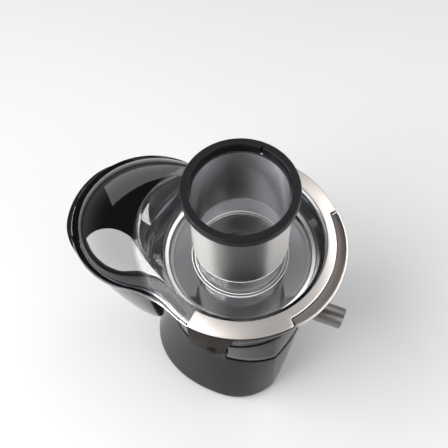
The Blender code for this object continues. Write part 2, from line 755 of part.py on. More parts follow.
def make_knob(parent):
    """The parent empty lies on the knob's axis, at the bezel's face."""
    turn = Matrix.Rotation(math.pi / 2, 4, "Y")
    depth = KNOB_TIP - BEZEL_FACE
    profile = [
        (0, depth), (11.5 * MM, depth), (13.2 * MM, depth - 1.6 * MM), (14.4 * MM, 1 * MM),
        (0, 1 * MM),
    ]
    knob = turned("control_knob", profile, STEEL_SATIN, parent, FEW)
    knob.matrix_basis = turn
    cut(knob, "shaft_socket", lambda bm: add_rod(bm, 3.3 * MM, 12 * MM, (0, 0, 0), "X", 16))
    cut(knob, "pointer_slot", lambda bm: add_box(
        bm, (4 * MM, 2.4 * MM, 9 * MM), (depth, 0, 6 * MM)))
    solid("knob_shaft", lambda bm: add_rod(bm, 3 * MM, 25 * MM, (-7 * MM, 0, 0), "X", 16), STEEL, parent)
    solid("knob_pointer", lambda bm: add_box(
        bm, (1.4 * MM, 1.8 * MM, 8.4 * MM), (depth - 1 * MM, 0, 6 * MM)), WHITE, parent)


# Spinning parts

def make_drive(parent):
    disc("motor_shaft", SHAFT_R, SHAFT_LOW, SHAFT_TOP, STEEL, parent, 20)
    ring("rotor_core", SHAFT_R + GAP, 20.5 * MM, CORE_LOW, CORE_TOP, STEEL_DARK, parent, FEW)
    ring("commutator", SHAFT_R + GAP, 13 * MM, COMMUTATOR_Z - 7 * MM, COMMUTATOR_Z + 7 * MM, COPPER,
         parent, FEW)
    make_fan(parent)
    low = SHAFT_TOP + GAP
    profile = [(0, low + 13 * MM), (10 * MM, low + 13 * MM), (10 * MM, low), (0, low)]
    coupling = turned("drive_coupling", profile, STEEL, parent, FEW)

    def splines(bm):
        for x, y in circle_points(10 * MM, 6):
            add_rod(bm, 1.5 * MM, 30 * MM, (x, y, low + 10 * MM), segments=8)

    cut(coupling, "splines", splines)

    hub_top = BASKET_FLOOR - GAP
    hub = [
        (0, hub_top), (HUB_R, hub_top), (HUB_R, 147 * MM), (HUB_R - 2.2 * MM, 147 * MM),
        (HUB_R - 2.2 * MM, 166.5 * MM), (0, 166.5 * MM),
    ]
    turned("basket_hub", hub, BLACK_MATTE, parent, FEW)
    grater = disc("grater_disc", BASKET_R_LOW - 0.5 * MM, BASKET_FLOOR, GRATER_TOP, STEEL, parent)
    cut(grater, "grater_teeth", grater_teeth, "UNION")
    skin = 1.2 * MM
    mesh = [
        (BASKET_R_TOP - skin, BASKET_TOP), (BASKET_R_TOP, BASKET_TOP), (BASKET_R_LOW + skin, BASKET_FLOOR),
        (BASKET_R_LOW, BASKET_FLOOR),
    ]
    turned("filter_mesh", mesh, STEEL, parent)
    ring("basket_rim", BASKET_R_TOP - 2.4 * MM, BASKET_R_TOP + 1 * MM, BASKET_TOP + GAP,
         BASKET_TOP + 3.4 * MM, STEEL, parent)


def make_fan(parent):
    """A back plate and hub with flat blades standing on the plate."""
    low = UPPER_BRACKET + BRACKET_HEIGHT + 2.5 * MM
    hub = 8 * MM
    profile = [
        (hub, low + FAN_HEIGHT), (hub, low + FAN_PLATE), (FAN_R, low + FAN_PLATE), (FAN_R, low),
        (SHAFT_R + GAP, low), (SHAFT_R + GAP, low + FAN_HEIGHT),
    ]
    fan = turned("cooling_fan", profile, BLACK_MATTE, parent, FEW)

    def blades(bm):
        for i in range(FAN_BLADES):
            verts = add_box(bm, (19 * MM, 1.2 * MM, 8.2 * MM), (17 * MM, 0, low + 4.9 * MM))
            spin = Matrix.Rotation(2 * math.pi * i / FAN_BLADES, 3, "Z")
            bmesh.ops.rotate(bm, cent=(0, 0, 0), matrix=spin, verts=verts)

    cut(fan, "fan_blades", blades, "UNION")


def grater_teeth(bm):
    """Small four-sided teeth in rows that curve outwards."""
    height = 2.4 * MM
    for arm in range(6):
        for step in range(5):
            radius = (12 + 6 * step) * MM
            turn = 2 * math.pi * arm / 6 + 0.09 * step
            place = (radius * math.cos(turn), radius * math.sin(turn), GRATER_TOP + 0.6 * MM)
            add_rod(bm, 1.2 * MM, height, place, segments=4, end_radius=0.35 * MM)


# Pulp container

def make_container(parent):
    outer = [CONTAINER_LOW, 125 * MM, 165 * MM, CONTAINER_TOP - LIP_RAMP]
    inner = [CONTAINER_TOP, 165 * MM, 125 * MM, CONTAINER_LOW + WALL]
    rings = [container_section(z) for z in outer]
    rings += [container_section(z, lip=LIP) for z in (CONTAINER_TOP - LIP_DEPTH, CONTAINER_TOP)]
    rings += [container_section(z, WALL) for z in inner]
    container = loft("pulp_container", rings, BLACK_GLOSS, parent, closed=False)

    def lugs(bm):
        x, y, z = LUG_PLACE
        for side in (-1, 1):
            add_box(bm, LUG_SIZE, (side * x, y, z))

    cut(container, "finger_lugs", lugs, "UNION")


clear_scene()
PARTS = collection("juicer")
CUTTERS = collection("cutters")

BLACK_GLOSS = material("black_gloss", (0.012, 0.012, 0.014), 0.12)
BLACK_MATTE = material("black_matte", (0.03, 0.03, 0.032), 0.5)
RUBBER = material("rubber", (0.02, 0.02, 0.02), 0.8)
STEEL = material("steel", (0.62, 0.61, 0.6), 0.28, 1.0)
STEEL_SATIN = material("satin_steel", (0.62, 0.58, 0.55), 0.38, 1.0)
STEEL_DARK = material("dark_steel", (0.25, 0.25, 0.26), 0.35, 1.0)
ALUMINIUM = material("aluminium", (0.7, 0.7, 0.71), 0.4, 1.0)
COPPER = material("copper", (0.72, 0.36, 0.18), 0.35, 1.0)
BRASS = material("brass", (0.72, 0.56, 0.26), 0.35, 1.0)
CARBON = material("carbon", (0.04, 0.04, 0.045), 0.6)
CLEAR = material("clear", (0.75, 0.77, 0.8), 0.05, 0.0, 0.3)
GREY_BROWN = material("grey_brown", (0.13, 0.11, 0.1), 0.5)
BOARD_GREEN = material("board_green", (0.03, 0.2, 0.09), 0.5)
RED = material("red", (0.35, 0.03, 0.02), 0.45)
LENS = material("lens", (0.5, 0.55, 0.6), 0.1)
WHITE = material("white", (0.8, 0.8, 0.8), 0.4)

spindle = empty("spindle", (0, SPINDLE_Y, 0))
drive = empty("drive", (0, 0, 0), spindle)
arm = empty("arm", (0, -PIVOT_FORWARD, PIVOT_Z), spindle)
knob_axis = empty("knob", (BEZEL_FACE, 0, KNOB_Z), spindle)
container_slide = empty("container", (0, 0, 0), spindle)

make_base(spindle)
make_collar(spindle)
make_deck(spindle)
make_pivot_posts(spindle)
make_bowl(spindle)
make_cover(spindle)
make_arm(arm)
make_motor(spindle)
make_controls(spindle)
make_knob(knob_axis)
make_drive(drive)
make_container(container_slide)
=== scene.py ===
import math

import bmesh
import bpy
from mathutils import Matrix, Quaternion, Vector


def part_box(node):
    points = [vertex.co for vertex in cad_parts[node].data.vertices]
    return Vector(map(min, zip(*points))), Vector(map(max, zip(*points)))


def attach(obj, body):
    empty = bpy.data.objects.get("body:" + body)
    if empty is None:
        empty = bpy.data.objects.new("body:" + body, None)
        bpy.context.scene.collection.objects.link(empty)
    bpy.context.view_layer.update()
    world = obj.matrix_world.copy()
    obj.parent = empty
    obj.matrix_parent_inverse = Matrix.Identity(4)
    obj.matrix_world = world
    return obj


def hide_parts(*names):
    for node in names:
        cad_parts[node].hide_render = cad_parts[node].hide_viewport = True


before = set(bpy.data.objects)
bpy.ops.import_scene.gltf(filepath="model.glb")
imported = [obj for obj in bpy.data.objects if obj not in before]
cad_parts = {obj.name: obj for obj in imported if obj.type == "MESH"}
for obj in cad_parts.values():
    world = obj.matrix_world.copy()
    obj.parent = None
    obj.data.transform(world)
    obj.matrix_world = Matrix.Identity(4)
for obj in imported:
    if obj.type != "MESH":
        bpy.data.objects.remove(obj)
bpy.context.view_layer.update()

MM = 0.001


def mm(*sizes):
    return [size * MM for size in sizes]


# The frame's own places. The spindle's axis is the middle of the feed rim.

def low(node):
    return Vector(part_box(node)[0])


def high(node):
    return Vector(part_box(node)[1])


def middle(node):
    return (low(node) + high(node)) / 2


def half_span(node, axis=0):
    return (high(node)[axis] - low(node)[axis]) / 2


AXIS_Y = middle("feed_rim").y
TOP = high("feed_rim").z
RIM_LOW = low("feed_rim").z
FLOOR_Z = 0.0
FOOT_TOP = low("base_shell").z
BASE_TOP = high("base_shell").z
COLLAR_LOW = low("steel_collar").z
COLLAR_TOP = high("steel_collar").z
BOWL_RIM = high("juice_bowl").z
BOWL_LOW = low("juice_bowl").z
FLANGE_R = half_span("juice_bowl")
TUBE_LOW = low("cover").z
TUBE_TOP = high("cover").z
HOOD_END = high("cover").y - AXIS_Y
SLEEVE_LOW = low("feed_sleeve").z
SLEEVE_R = half_span("feed_sleeve")
RIM_OUT = half_span("feed_rim")
SPOUT_REACH = AXIS_Y - low("spout_sleeve").y
SPOUT_START = AXIS_Y - high("spout_sleeve").y
SPOUT_Z = middle("spout_sleeve").z
SPOUT_R = half_span("spout_sleeve")
ARM_TOP = high("arm_ring").z
EAR_LOW = low("arm_ring").z
PIVOT = middle("arm_pivot_pin_1")
BASKET_FLOOR = low("filter_mesh").z
BASKET_TOP = high("filter_mesh").z
BASKET_R_TOP = half_span("filter_mesh")
BEZEL = middle("dial_bezel")
BEZEL_FACE = high("dial_bezel").x
BEZEL_R = half_span("dial_bezel", 2)
KNOB_R = half_span("control_knob", 2)
LENS_R = half_span("indicator_lens", 2)
GLAND_R = half_span("cord_gland", 2)
CONTAINER_LOW = low("pulp_container").z
CONTAINER_TOP = high("pulp_container").z

# Sizes that the CAD's shapes are drawn with
HOOD_R = 75 * MM
HOOD_CENTRE = HOOD_END - HOOD_R
WAIST_R = 95 * MM
FLANGE_TOP = BOWL_RIM + 4.5 * MM
DISC_TOP = BOWL_RIM + 2 * MM
TUBE_IN = 40.6 * MM
TUBE_OUT = 42.6 * MM
RIM_IN = 42 * MM
BEAD_IN = 68 * MM
BEAD_OUT = 71.5 * MM
WALL = 2.4 * MM
CLEAR_R = 84 * MM
CLEAR_SHIFT = 12 * MM
ARM_IN = 79.6 * MM
ARM_OUT = 94.5 * MM
ARM_SLOPE = 0.2
ARM_HALF_ANGLE = math.radians(98)
GRIP_HALF_ANGLE = math.radians(39)
EAR_START = math.radians(72)
EAR_FULL = math.radians(80)
COLLAR_R_TOP = 75.5 * MM
SIDE_TOP, SIDE_FOOT = mm(75.5, 84)
REAR_TOP, REAR_FOOT = mm(73.5, 101)
FRONT_TOP, FRONT_FOOT = mm(72.5, 65.5)
CREASE_X_TOP, CREASE_X_FOOT = mm(57, 50.5)
CREASE_Y = 60.2 * MM
SQUARENESS = 2.3
REAR_SQUARENESS = 2.2
SHELF_R = 62.6 * MM
LIP = 7 * MM
LIP_FULL = math.radians(20)
LIP_END = math.radians(65)
BASKET_R_LOW = 41.5 * MM
GRIP_STEP_R = 87.5 * MM
GRIP_STEP = math.radians(1.5)
BIN_R = mm(47, 73)
BIN_CENTRE = mm(87, 96.5)
BIN_HOLLOW = mm(85.5, 90.5)
# How far from the axis a profile starts that closes on it
CORE = 0.01 * MM


# Small numeric helpers

def mix(a, b, t):
    return a + (b - a) * t


def ease(t):
    t = min(1, max(0, t))
    return t * t * (3 - 2 * t)


def spread(first, last, count):
    return [mix(first, last, i / (count - 1)) for i in range(count)]


def rounded(points, radii, steps=5, closed=True):
    """The polyline with each corner replaced by a smooth arc. radii is one radius or one for each point."""
    count = len(points)
    if not isinstance(radii, (list, tuple)):
        radii = [radii] * count
    weight = math.sqrt(0.5)
    made = []
    for i, point in enumerate(points):
        ends = not closed and i in (0, count - 1)
        if ends or radii[i] <= 0:
            made.append(tuple(point))
            continue
        here = Vector(point)
        before = Vector(points[i - 1]) - here
        after = Vector(points[(i + 1) % count]) - here
        reach = min(radii[i], 0.48 * before.length, 0.48 * after.length)
        start, end = here + before.normalized() * reach, here + after.normalized() * reach
        for k in range(steps + 1):
            t = k / steps
            shares = ((1 - t) ** 2, 2 * t * (1 - t) * weight, t * t)
            total = sum(shares)
            made.append(tuple((start * shares[0] + here * shares[1] + end * shares[2]) / total))
    return made


# Mesh helpers

def as_mesh(bm, name="shape"):
    mesh = bpy.data.meshes.new(name)
    bm.to_mesh(mesh)
    bm.free()
    return mesh


def finish_mesh(bm, sharp_angle):
    bmesh.ops.remove_doubles(bm, verts=bm.verts, dist=1e-7)
    bmesh.ops.recalc_face_normals(bm, faces=bm.faces)
    mesh = as_mesh(bm)
    mesh.shade_smooth()
    mesh.set_sharp_from_angle(angle=math.radians(sharp_angle))
    return mesh


def added(name, data):
    obj = bpy.data.objects.new(name, data)
    bpy.context.scene.collection.objects.link(obj)
    return obj


def piece(name, mesh, mat, body, slot, *nodes):
    """A shown object that rides on a body and stands for the CAD nodes named."""
    mesh.name = name
    mesh.materials.append(mat)
    obj = added(name, mesh)
    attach(obj, body)
    if nodes:
        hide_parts(*nodes)
    return obj


def lofted(rings, closed=False, sharp_angle=32):
    """Skins equal rings of points. A closed skin joins last ring to first, an open one is capped."""
    bm = bmesh.new()
    rows = [[bm.verts.new(point) for point in points] for points in rings]
    count = len(rows[0])
    pairs = list(zip(rows, rows[1:]))
    if closed:
        pairs.append((rows[-1], rows[0]))
    else:
        bm.faces.new(rows[0][::-1])
        bm.faces.new(rows[-1])
    for lower, upper in pairs:
        for i in range(count):
            j = (i + 1) % count
            bm.faces.new((lower[i], lower[j], upper[j], upper[i]))
    return finish_mesh(bm, sharp_angle)


def ring_points(radius, z, count):
    turns = [math.tau * i / count for i in range(count)]
    return [(radius * math.cos(a), AXIS_Y + radius * math.sin(a), z) for a in turns]


def turned(profile, count):
    """A closed (radius, z) loop turned about the spindle."""
    return lofted([ring_points(r, z, count) for r, z in profile], True)


def turned_solid(profile, count):
    """A (radius, z) line turned about the spindle and capped at both ends."""
    return lofted([ring_points(r, z, count) for r, z in profile])


def turned_band(inner, outer, bottom, top, corner, steps, count):
    """A ring of rectangular section with rounded corners."""
    section = [(inner, bottom), (inner, top), (outer, top), (outer, bottom)]
    return turned(rounded(section, corner, steps), count)


def moved(mesh, matrix):
    mesh.transform(matrix)
    return mesh


def onto(direction, place):
    """The matrix that turns a shape made round the spindle's axis at z = 0 onto another axis."""
    turn = Vector((0, 0, 1)).rotation_difference(Vector(direction)).to_matrix().to_4x4()
    return Matrix.Translation(place) @ turn @ Matrix.Translation((0, -AXIS_Y, 0))


def boxed(size, centre, bevel, turn=0.0, segments=4):
    """A box with rounded edges, turned about +Z."""
    bm = bmesh.new()
    bmesh.ops.create_cube(bm, size=1)
    bmesh.ops.scale(bm, vec=size, verts=bm.verts)
    bmesh.ops.bevel(bm, geom=bm.edges[:], offset=bevel, segments=segments, profile=0.5, affect="EDGES")
    bmesh.ops.rotate(bm, cent=(0, 0, 0), matrix=Matrix.Rotation(turn, 3, "Z"), verts=bm.verts)
    bmesh.ops.translate(bm, vec=centre, verts=bm.verts)
    return finish_mesh(bm, 40)


def cut(obj, tool_mesh):
    """Cuts a mesh's shape out of obj and keeps the result as plain geometry."""
    tool = added("tool", tool_mesh)
    boolean = obj.modifiers.new("cut", "BOOLEAN")
    boolean.operation = "DIFFERENCE"
    boolean.solver = "EXACT"
    boolean.object = tool
    graph = bpy.context.evaluated_depsgraph_get()
    made = bpy.data.meshes.new_from_object(obj.evaluated_get(graph), depsgraph=graph)
    old = obj.data
    obj.modifiers.clear()
    obj.data = made
    bpy.data.objects.remove(tool)
    bpy.data.meshes.remove(old)
    made.set_sharp_from_angle(angle=math.radians(32))
    return obj


# Materials

class Nodes:
    """A Principled material and short names for wiring its nodes."""

    def __init__(self, name, base, roughness, metallic=0.0, **sockets):
        self.mat = bpy.data.materials.new(name)
        self.mat.use_nodes = True
        self.tree = self.mat.node_tree
        self.shader = self.tree.nodes["Principled BSDF"]
        self.set("Base Color", (*base, 1))
        self.set("Roughness", roughness)
        self.set("Metallic", metallic)
        for socket, value in sockets.items():
            self.set(socket.replace("_", " "), value)

    def set(self, socket, value):
        self.shader.inputs[socket].default_value = value

    def add(self, kind, **values):
        node = self.tree.nodes.new(kind)
        for key, value in values.items():
            setattr(node, key, value)
        return node

    def link(self, source, target):
        self.tree.links.new(source, target)

    def math(self, operation, *operands):
        node = self.add("ShaderNodeMath", operation=operation)
        for socket, value in zip(node.inputs, operands):
            if hasattr(value, "is_linked"):
                self.link(value, socket)
            else:
                socket.default_value = value
        return node.outputs[0]

    def place(self):
        """The point in the object's own frame, in metres."""
        return self.add("ShaderNodeTexCoord").outputs["Object"]

    def about(self, y=None, z=None):
        """(radius, angle, height) about the spindle or a vertical axis at y, or about +X through (y, z)."""
        split = self.add("ShaderNodeSeparateXYZ")
        self.link(self.place(), split.inputs[0])
        x_out, y_out, z_out = split.outputs
        if z is None:
            across, up, along = x_out, self.math("SUBTRACT", y_out, AXIS_Y if y is None else y), z_out
        else:
            across, up, along = self.math("SUBTRACT", y_out, y), self.math("SUBTRACT", z_out, z), x_out
        squares = self.math("ADD", self.math("MULTIPLY", across, across), self.math("MULTIPLY", up, up))
        return self.math("SQRT", squares), self.math("ARCTAN2", up, across), along

    def joined(self, x, y, z):
        node = self.add("ShaderNodeCombineXYZ")
        for socket, value in zip(node.inputs, (x, y, z)):
            self.link(value, socket)
        return node.outputs[0]

    def noise(self, vector, scale, detail, roughness=0.55):
        node = self.add("ShaderNodeTexNoise")
        self.link(vector, node.inputs["Vector"])
        node.inputs["Scale"].default_value = scale
        node.inputs["Detail"].default_value = detail
        node.inputs["Roughness"].default_value = roughness
        return node.outputs["Fac"]

    def mottle(self, scale, detail):
        return self.noise(self.place(), scale, detail)

    def lines(self, fine, stretch, detail, roughness=0.55, axis_yz=()):
        """Noise drawn out into fine lines round the spindle, or round an axis along +X."""
        radius, angle, along = self.about(*axis_yz)
        vector = self.joined(self.math("MULTIPLY", radius, fine), self.math("MULTIPLY", angle, stretch),
                             self.math("MULTIPLY", along, fine))
        return self.noise(vector, 1.0, detail, roughness)

    def ramp(self, value, from_low, from_high, to_low, to_high):
        node = self.add("ShaderNodeMapRange")
        self.link(value, node.inputs["Value"])
        for socket, number in zip(("From Min", "From Max", "To Min", "To Max"),
                                  (from_low, from_high, to_low, to_high)):
            node.inputs[socket].default_value = number
        return node.outputs[0]

    def tint(self, value, dark, light):
        node = self.add("ShaderNodeMix", data_type="RGBA")
        self.link(value, node.inputs["Factor"])
        node.inputs["A"].default_value = (*dark, 1)
        node.inputs["B"].default_value = (*light, 1)
        self.link(node.outputs["Result"], self.shader.inputs["Base Color"])

    def rough(self, value, smooth, coarse, from_low=0.3, from_high=0.7):
        self.link(self.ramp(value, from_low, from_high, smooth, coarse), self.shader.inputs["Roughness"])

    def bump(self, value, depth, strength):
        node = self.add("ShaderNodeBump")
        node.inputs["Distance"].default_value = depth
        node.inputs["Strength"].default_value = strength
        self.link(value, node.inputs["Height"])
        self.link(node.outputs[0], self.shader.inputs["Normal"])


def gloss_black(name="gloss_black_plastic", base=(0.006, 0.006, 0.0075), ior=1.42):
    """High gloss moulding: near black, with faint orange peel and a few soft wipe marks."""
    made = Nodes(name, base, 0.07, IOR=ior)
    wipes = made.mottle(26, 4)
    made.rough(wipes, 0.045, 0.12, 0.35, 0.75)
    made.bump(made.mottle(95, 2), 0.00006, 0.35)
    made.tint(made.mottle(12, 2), base, tuple(c * 1.6 for c in base))
    return made.mat


def moulded(name="matte_black_plastic", base=(0.03, 0.03, 0.032), roughness=0.42, ior=1.45):
    """Fine spark-eroded moulding grain."""
    made = Nodes(name, base, roughness, IOR=ior)
    grain = made.mottle(2600, 3)
    made.bump(grain, 0.00004, 0.5)
    made.rough(made.mottle(60, 3), roughness - 0.06, roughness + 0.08)
    made.tint(made.mottle(45, 4), base, tuple(c * 1.35 for c in base))
    return made.mat


def brushed(name, light, dark, smooth, coarse, axis_yz=None, anisotropy=0.6):
    """Steel with fine lines round an axis in colour, roughness and relief."""
    made = Nodes(name, light, smooth, 1.0, Anisotropic=anisotropy)
    lines = made.lines(5200.0, 1.8, 3, 0.6, axis_yz or ())
    made.tint(lines, dark, light)
    made.rough(lines, smooth, coarse)
    made.bump(lines, 0.00003, 0.35)
    tangent = made.add("ShaderNodeCombineXYZ")
    split = made.add("ShaderNodeSeparateXYZ")
    made.link(made.place(), split.inputs[0])
    if axis_yz is None:
        made.link(made.math("SUBTRACT", AXIS_Y, split.outputs[1]), tangent.inputs[0])
        made.link(split.outputs[0], tangent.inputs[1])
    else:
        made.link(made.math("SUBTRACT", axis_yz[1], split.outputs[2]), tangent.inputs[1])
        made.link(made.math("SUBTRACT", split.outputs[1], axis_yz[0]), tangent.inputs[2])
    across = made.add("ShaderNodeVectorMath", operation="CROSS_PRODUCT")
    made.link(tangent.outputs[0], across.inputs[0])
    made.link(made.add("ShaderNodeNewGeometry").outputs["Normal"], across.inputs[1])
    unit = made.add("ShaderNodeVectorMath", operation="NORMALIZE")
    made.link(across.outputs[0], unit.inputs[0])
    made.link(unit.outputs[0], made.shader.inputs["Tangent"])
    return made.mat


def plain_metal(name, base, roughness, grain=900.0):
    """Cast, turned or pressed metal with a fine mottled surface."""
    made = Nodes(name, base, roughness, 1.0)
    mottle = made.mottle(grain, 3)
    made.rough(mottle, roughness * 0.8, roughness * 1.3)
    made.bump(mottle, 0.00003, 0.3)
    made.tint(made.mottle(70, 3), tuple(c * 0.82 for c in base), base)
    return made.mat


def clear_plastic():
    """Polycarbonate with hairline handling marks: clear up to the crest, and over hood and flange a smoky
    tint that is partly the cover's own and partly painted shade standing in for the dark inside beneath.
    """
    clear, smoky_painted_shade = (0.86, 0.875, 0.9), (0.045, 0.047, 0.055)
    made = Nodes("clear_polycarbonate", clear, 0.02, IOR=1.585, Transmission_Weight=0.98)
    radius, _, _ = made.about(AXIS_Y + CLEAR_SHIFT)
    # Past CLEAR_R the colour turns smoky: partly the cover's own tint, partly painted shade that darkens the
    # hood and crest wall.
    made.tint(made.ramp(radius, CLEAR_R, CLEAR_R + 4 * MM, 0, 1), clear, smoky_painted_shade)
    made.rough(made.mottle(40, 4), 0.008, 0.03, 0.45, 0.75)
    made.bump(made.mottle(30, 2), 0.00004, 0.12)
    return made.mat


def rubber_black():
    made = Nodes("black_rubber", (0.018, 0.018, 0.018), 0.75, IOR=1.45)
    dust = made.mottle(320, 4)
    made.tint(dust, (0.012, 0.012, 0.012), (0.035, 0.035, 0.034))
    made.rough(dust, 0.65, 0.85)
    made.bump(made.mottle(1800, 3), 0.00006, 0.5)
    return made.mat


def copper_windings():
    """Enamelled wire wound round the core in fine rows."""
    made = Nodes("copper_windings", (0.6, 0.28, 0.12), 0.32, 0.9)
    strands = made.lines(900.0, 2.0, 2)
    made.tint(strands, (0.3, 0.11, 0.04), (0.75, 0.36, 0.16))
    made.bump(strands, 0.0003, 0.8)
    return made.mat


def laminations():
    """A varnished stack of thin sheets."""
    made = Nodes("lamination_stack", (0.22, 0.22, 0.23), 0.42, 0.85)
    wave = made.add("ShaderNodeTexWave", bands_direction="Z")
    made.link(made.place(), wave.inputs["Vector"])
    wave.inputs["Scale"].default_value = 320
    wave.inputs["Distortion"].default_value = 0.4
    made.tint(wave.outputs["Fac"], (0.09, 0.09, 0.1), (0.3, 0.3, 0.31))
    made.bump(wave.outputs["Fac"], 0.0001, 0.6)
    return made.mat


def circuit_green():
    made = Nodes("circuit_board_green", (0.02, 0.16, 0.07), 0.35)
    cells = made.add("ShaderNodeTexVoronoi", feature="DISTANCE_TO_EDGE")
    made.link(made.place(), cells.inputs["Vector"])
    cells.inputs["Scale"].default_value = 260
    made.tint(made.ramp(cells.outputs["Distance"], 0.02, 0.08, 0, 1), (0.1, 0.3, 0.1), (0.015, 0.12, 0.05))
    return made.mat


GLOSS = gloss_black()
HOUSING = gloss_black("housing_gloss_black", (0.0032, 0.0032, 0.0038), 1.22)
# A darker copy of the gloss black with very weak reflection, so the base front reads black: painted shade.
CASING_SHADED = gloss_black("casing_shaded_gloss_black", (0.0022, 0.0022, 0.0026), 1.11)
MATTE = moulded()
RIM_MATTE = moulded("rim_matte_plastic", (0.005, 0.005, 0.006), 0.36, 1.22)
GRIP = moulded("grip_brown_grey", (0.06, 0.051, 0.046), 0.5)
RUBBER = rubber_black()
ARM_SIDE = moulded("arm_side_brown", (0.018, 0.015, 0.014), 0.42, 1.08)
ARM_STEEL = brushed("arm_satin_steel", (0.54, 0.503, 0.48), (0.42, 0.389, 0.371), 0.4, 0.48, anisotropy=0.2)
SLEEVE_STEEL = brushed("sleeve_steel", (0.33, 0.324, 0.315), (0.17, 0.165, 0.16), 0.36, 0.44, anisotropy=1.0)
# A much lighter copy of the sleeve steel for the inner face: painted light standing in for light inside the
# tube.
SLEEVE_INSIDE_LIT = brushed("sleeve_inside_painted_light_steel", (0.86, 0.84, 0.83), (0.34, 0.33, 0.325), 0.4, 0.6,
                        anisotropy=0.8)
COLLAR_STEEL = brushed("collar_steel", (0.062, 0.061, 0.063), (0.03, 0.03, 0.032), 0.14, 0.24)
BASKET_STEEL = brushed("basket_steel", (0.45, 0.435, 0.43), (0.3, 0.288, 0.284), 0.34, 0.5)
SPOUT_STEEL = brushed("spout_steel", (0.27, 0.26, 0.248), (0.16, 0.152, 0.145), 0.34, 0.46, anisotropy=0.0)
KNOB_STEEL = brushed("knob_steel", (0.6, 0.6, 0.6), (0.45, 0.45, 0.45), 0.28, 0.4,
                     axis_yz=(BEZEL.y, BEZEL.z))
FASTENER = plain_metal("fastener_steel", (0.6, 0.6, 0.6), 0.3)
# Off-white used for rings that stand in for bright highlight rings: painted highlight.
PAINTED_HIGHLIGHT_WHITE = moulded("painted_highlight_white", (0.74, 0.72, 0.71), 0.34)
ALUMINIUM = plain_metal("cast_aluminium", (0.66, 0.66, 0.68), 0.45, 500)
BRASS = plain_metal("pressed_brass", (0.7, 0.52, 0.24), 0.3)
CLEAR = clear_plastic()
COPPER = copper_windings()
LAMINATED = laminations()
BOARD = circuit_green()
CARBON = moulded("sintered_carbon", (0.035, 0.035, 0.038), 0.6)
WHITE = moulded("pointer_white", (0.72, 0.72, 0.71), 0.4)
LENS = moulded("lens_frosted", (0.42, 0.47, 0.52), 0.2)


# The cover, its feed tube and what is on them

def waist_centre():
    to_bowl, to_hood = FLANGE_R + WAIST_R, HOOD_R + WAIST_R
    y = (to_bowl ** 2 - to_hood ** 2 + HOOD_CENTRE ** 2) / (2 * HOOD_CENTRE)
    return math.sqrt(to_bowl ** 2 - y ** 2), y


WAIST_X, WAIST_Y = waist_centre()
HOOD_SHARE = HOOD_R / (HOOD_R + WAIST_R)
HOOD_ANGLE = math.atan2(WAIST_X * HOOD_SHARE, HOOD_CENTRE + (WAIST_Y - HOOD_CENTRE) * HOOD_SHARE)
BOWL_ANGLE = math.atan2(WAIST_X, WAIST_Y)


def flange_radius(angle):
    """The cover's outline as a radius about the spindle, at an angle from +Y."""
    turn = abs(angle)
    if turn >= BOWL_ANGLE:
        return FLANGE_R
    if turn >= HOOD_ANGLE:
        along = WAIST_X * math.sin(turn) + WAIST_Y * math.cos(turn)
        return along - math.sqrt(along ** 2 - (WAIST_X ** 2 + WAIST_Y ** 2 - WAIST_R ** 2))
    along = HOOD_CENTRE * math.cos(turn)
    return along + math.sqrt(along ** 2 - (HOOD_CENTRE ** 2 - HOOD_R ** 2))


def outline_angles():
    hood_steps, waist_steps, bowl_steps = 40, 14, 44
    half = spread(0, HOOD_ANGLE, hood_steps + 1)[:-1]
    half += spread(HOOD_ANGLE, BOWL_ANGLE, waist_steps + 1)[:-1]
    half += spread(BOWL_ANGLE, math.pi, bowl_steps + 1)
    return half + [-angle for angle in half[-2:0:-1]]


CREST_R_FRONT = 76.5 * MM
CREST_R_REAR = 98 * MM
CREST_Z_FRONT = BOWL_RIM + 29.5 * MM
CREST_Z_REAR = BOWL_RIM + 32.5 * MM
LEDGE_BOWL, LEDGE_HOOD = mm(2.4, 7)


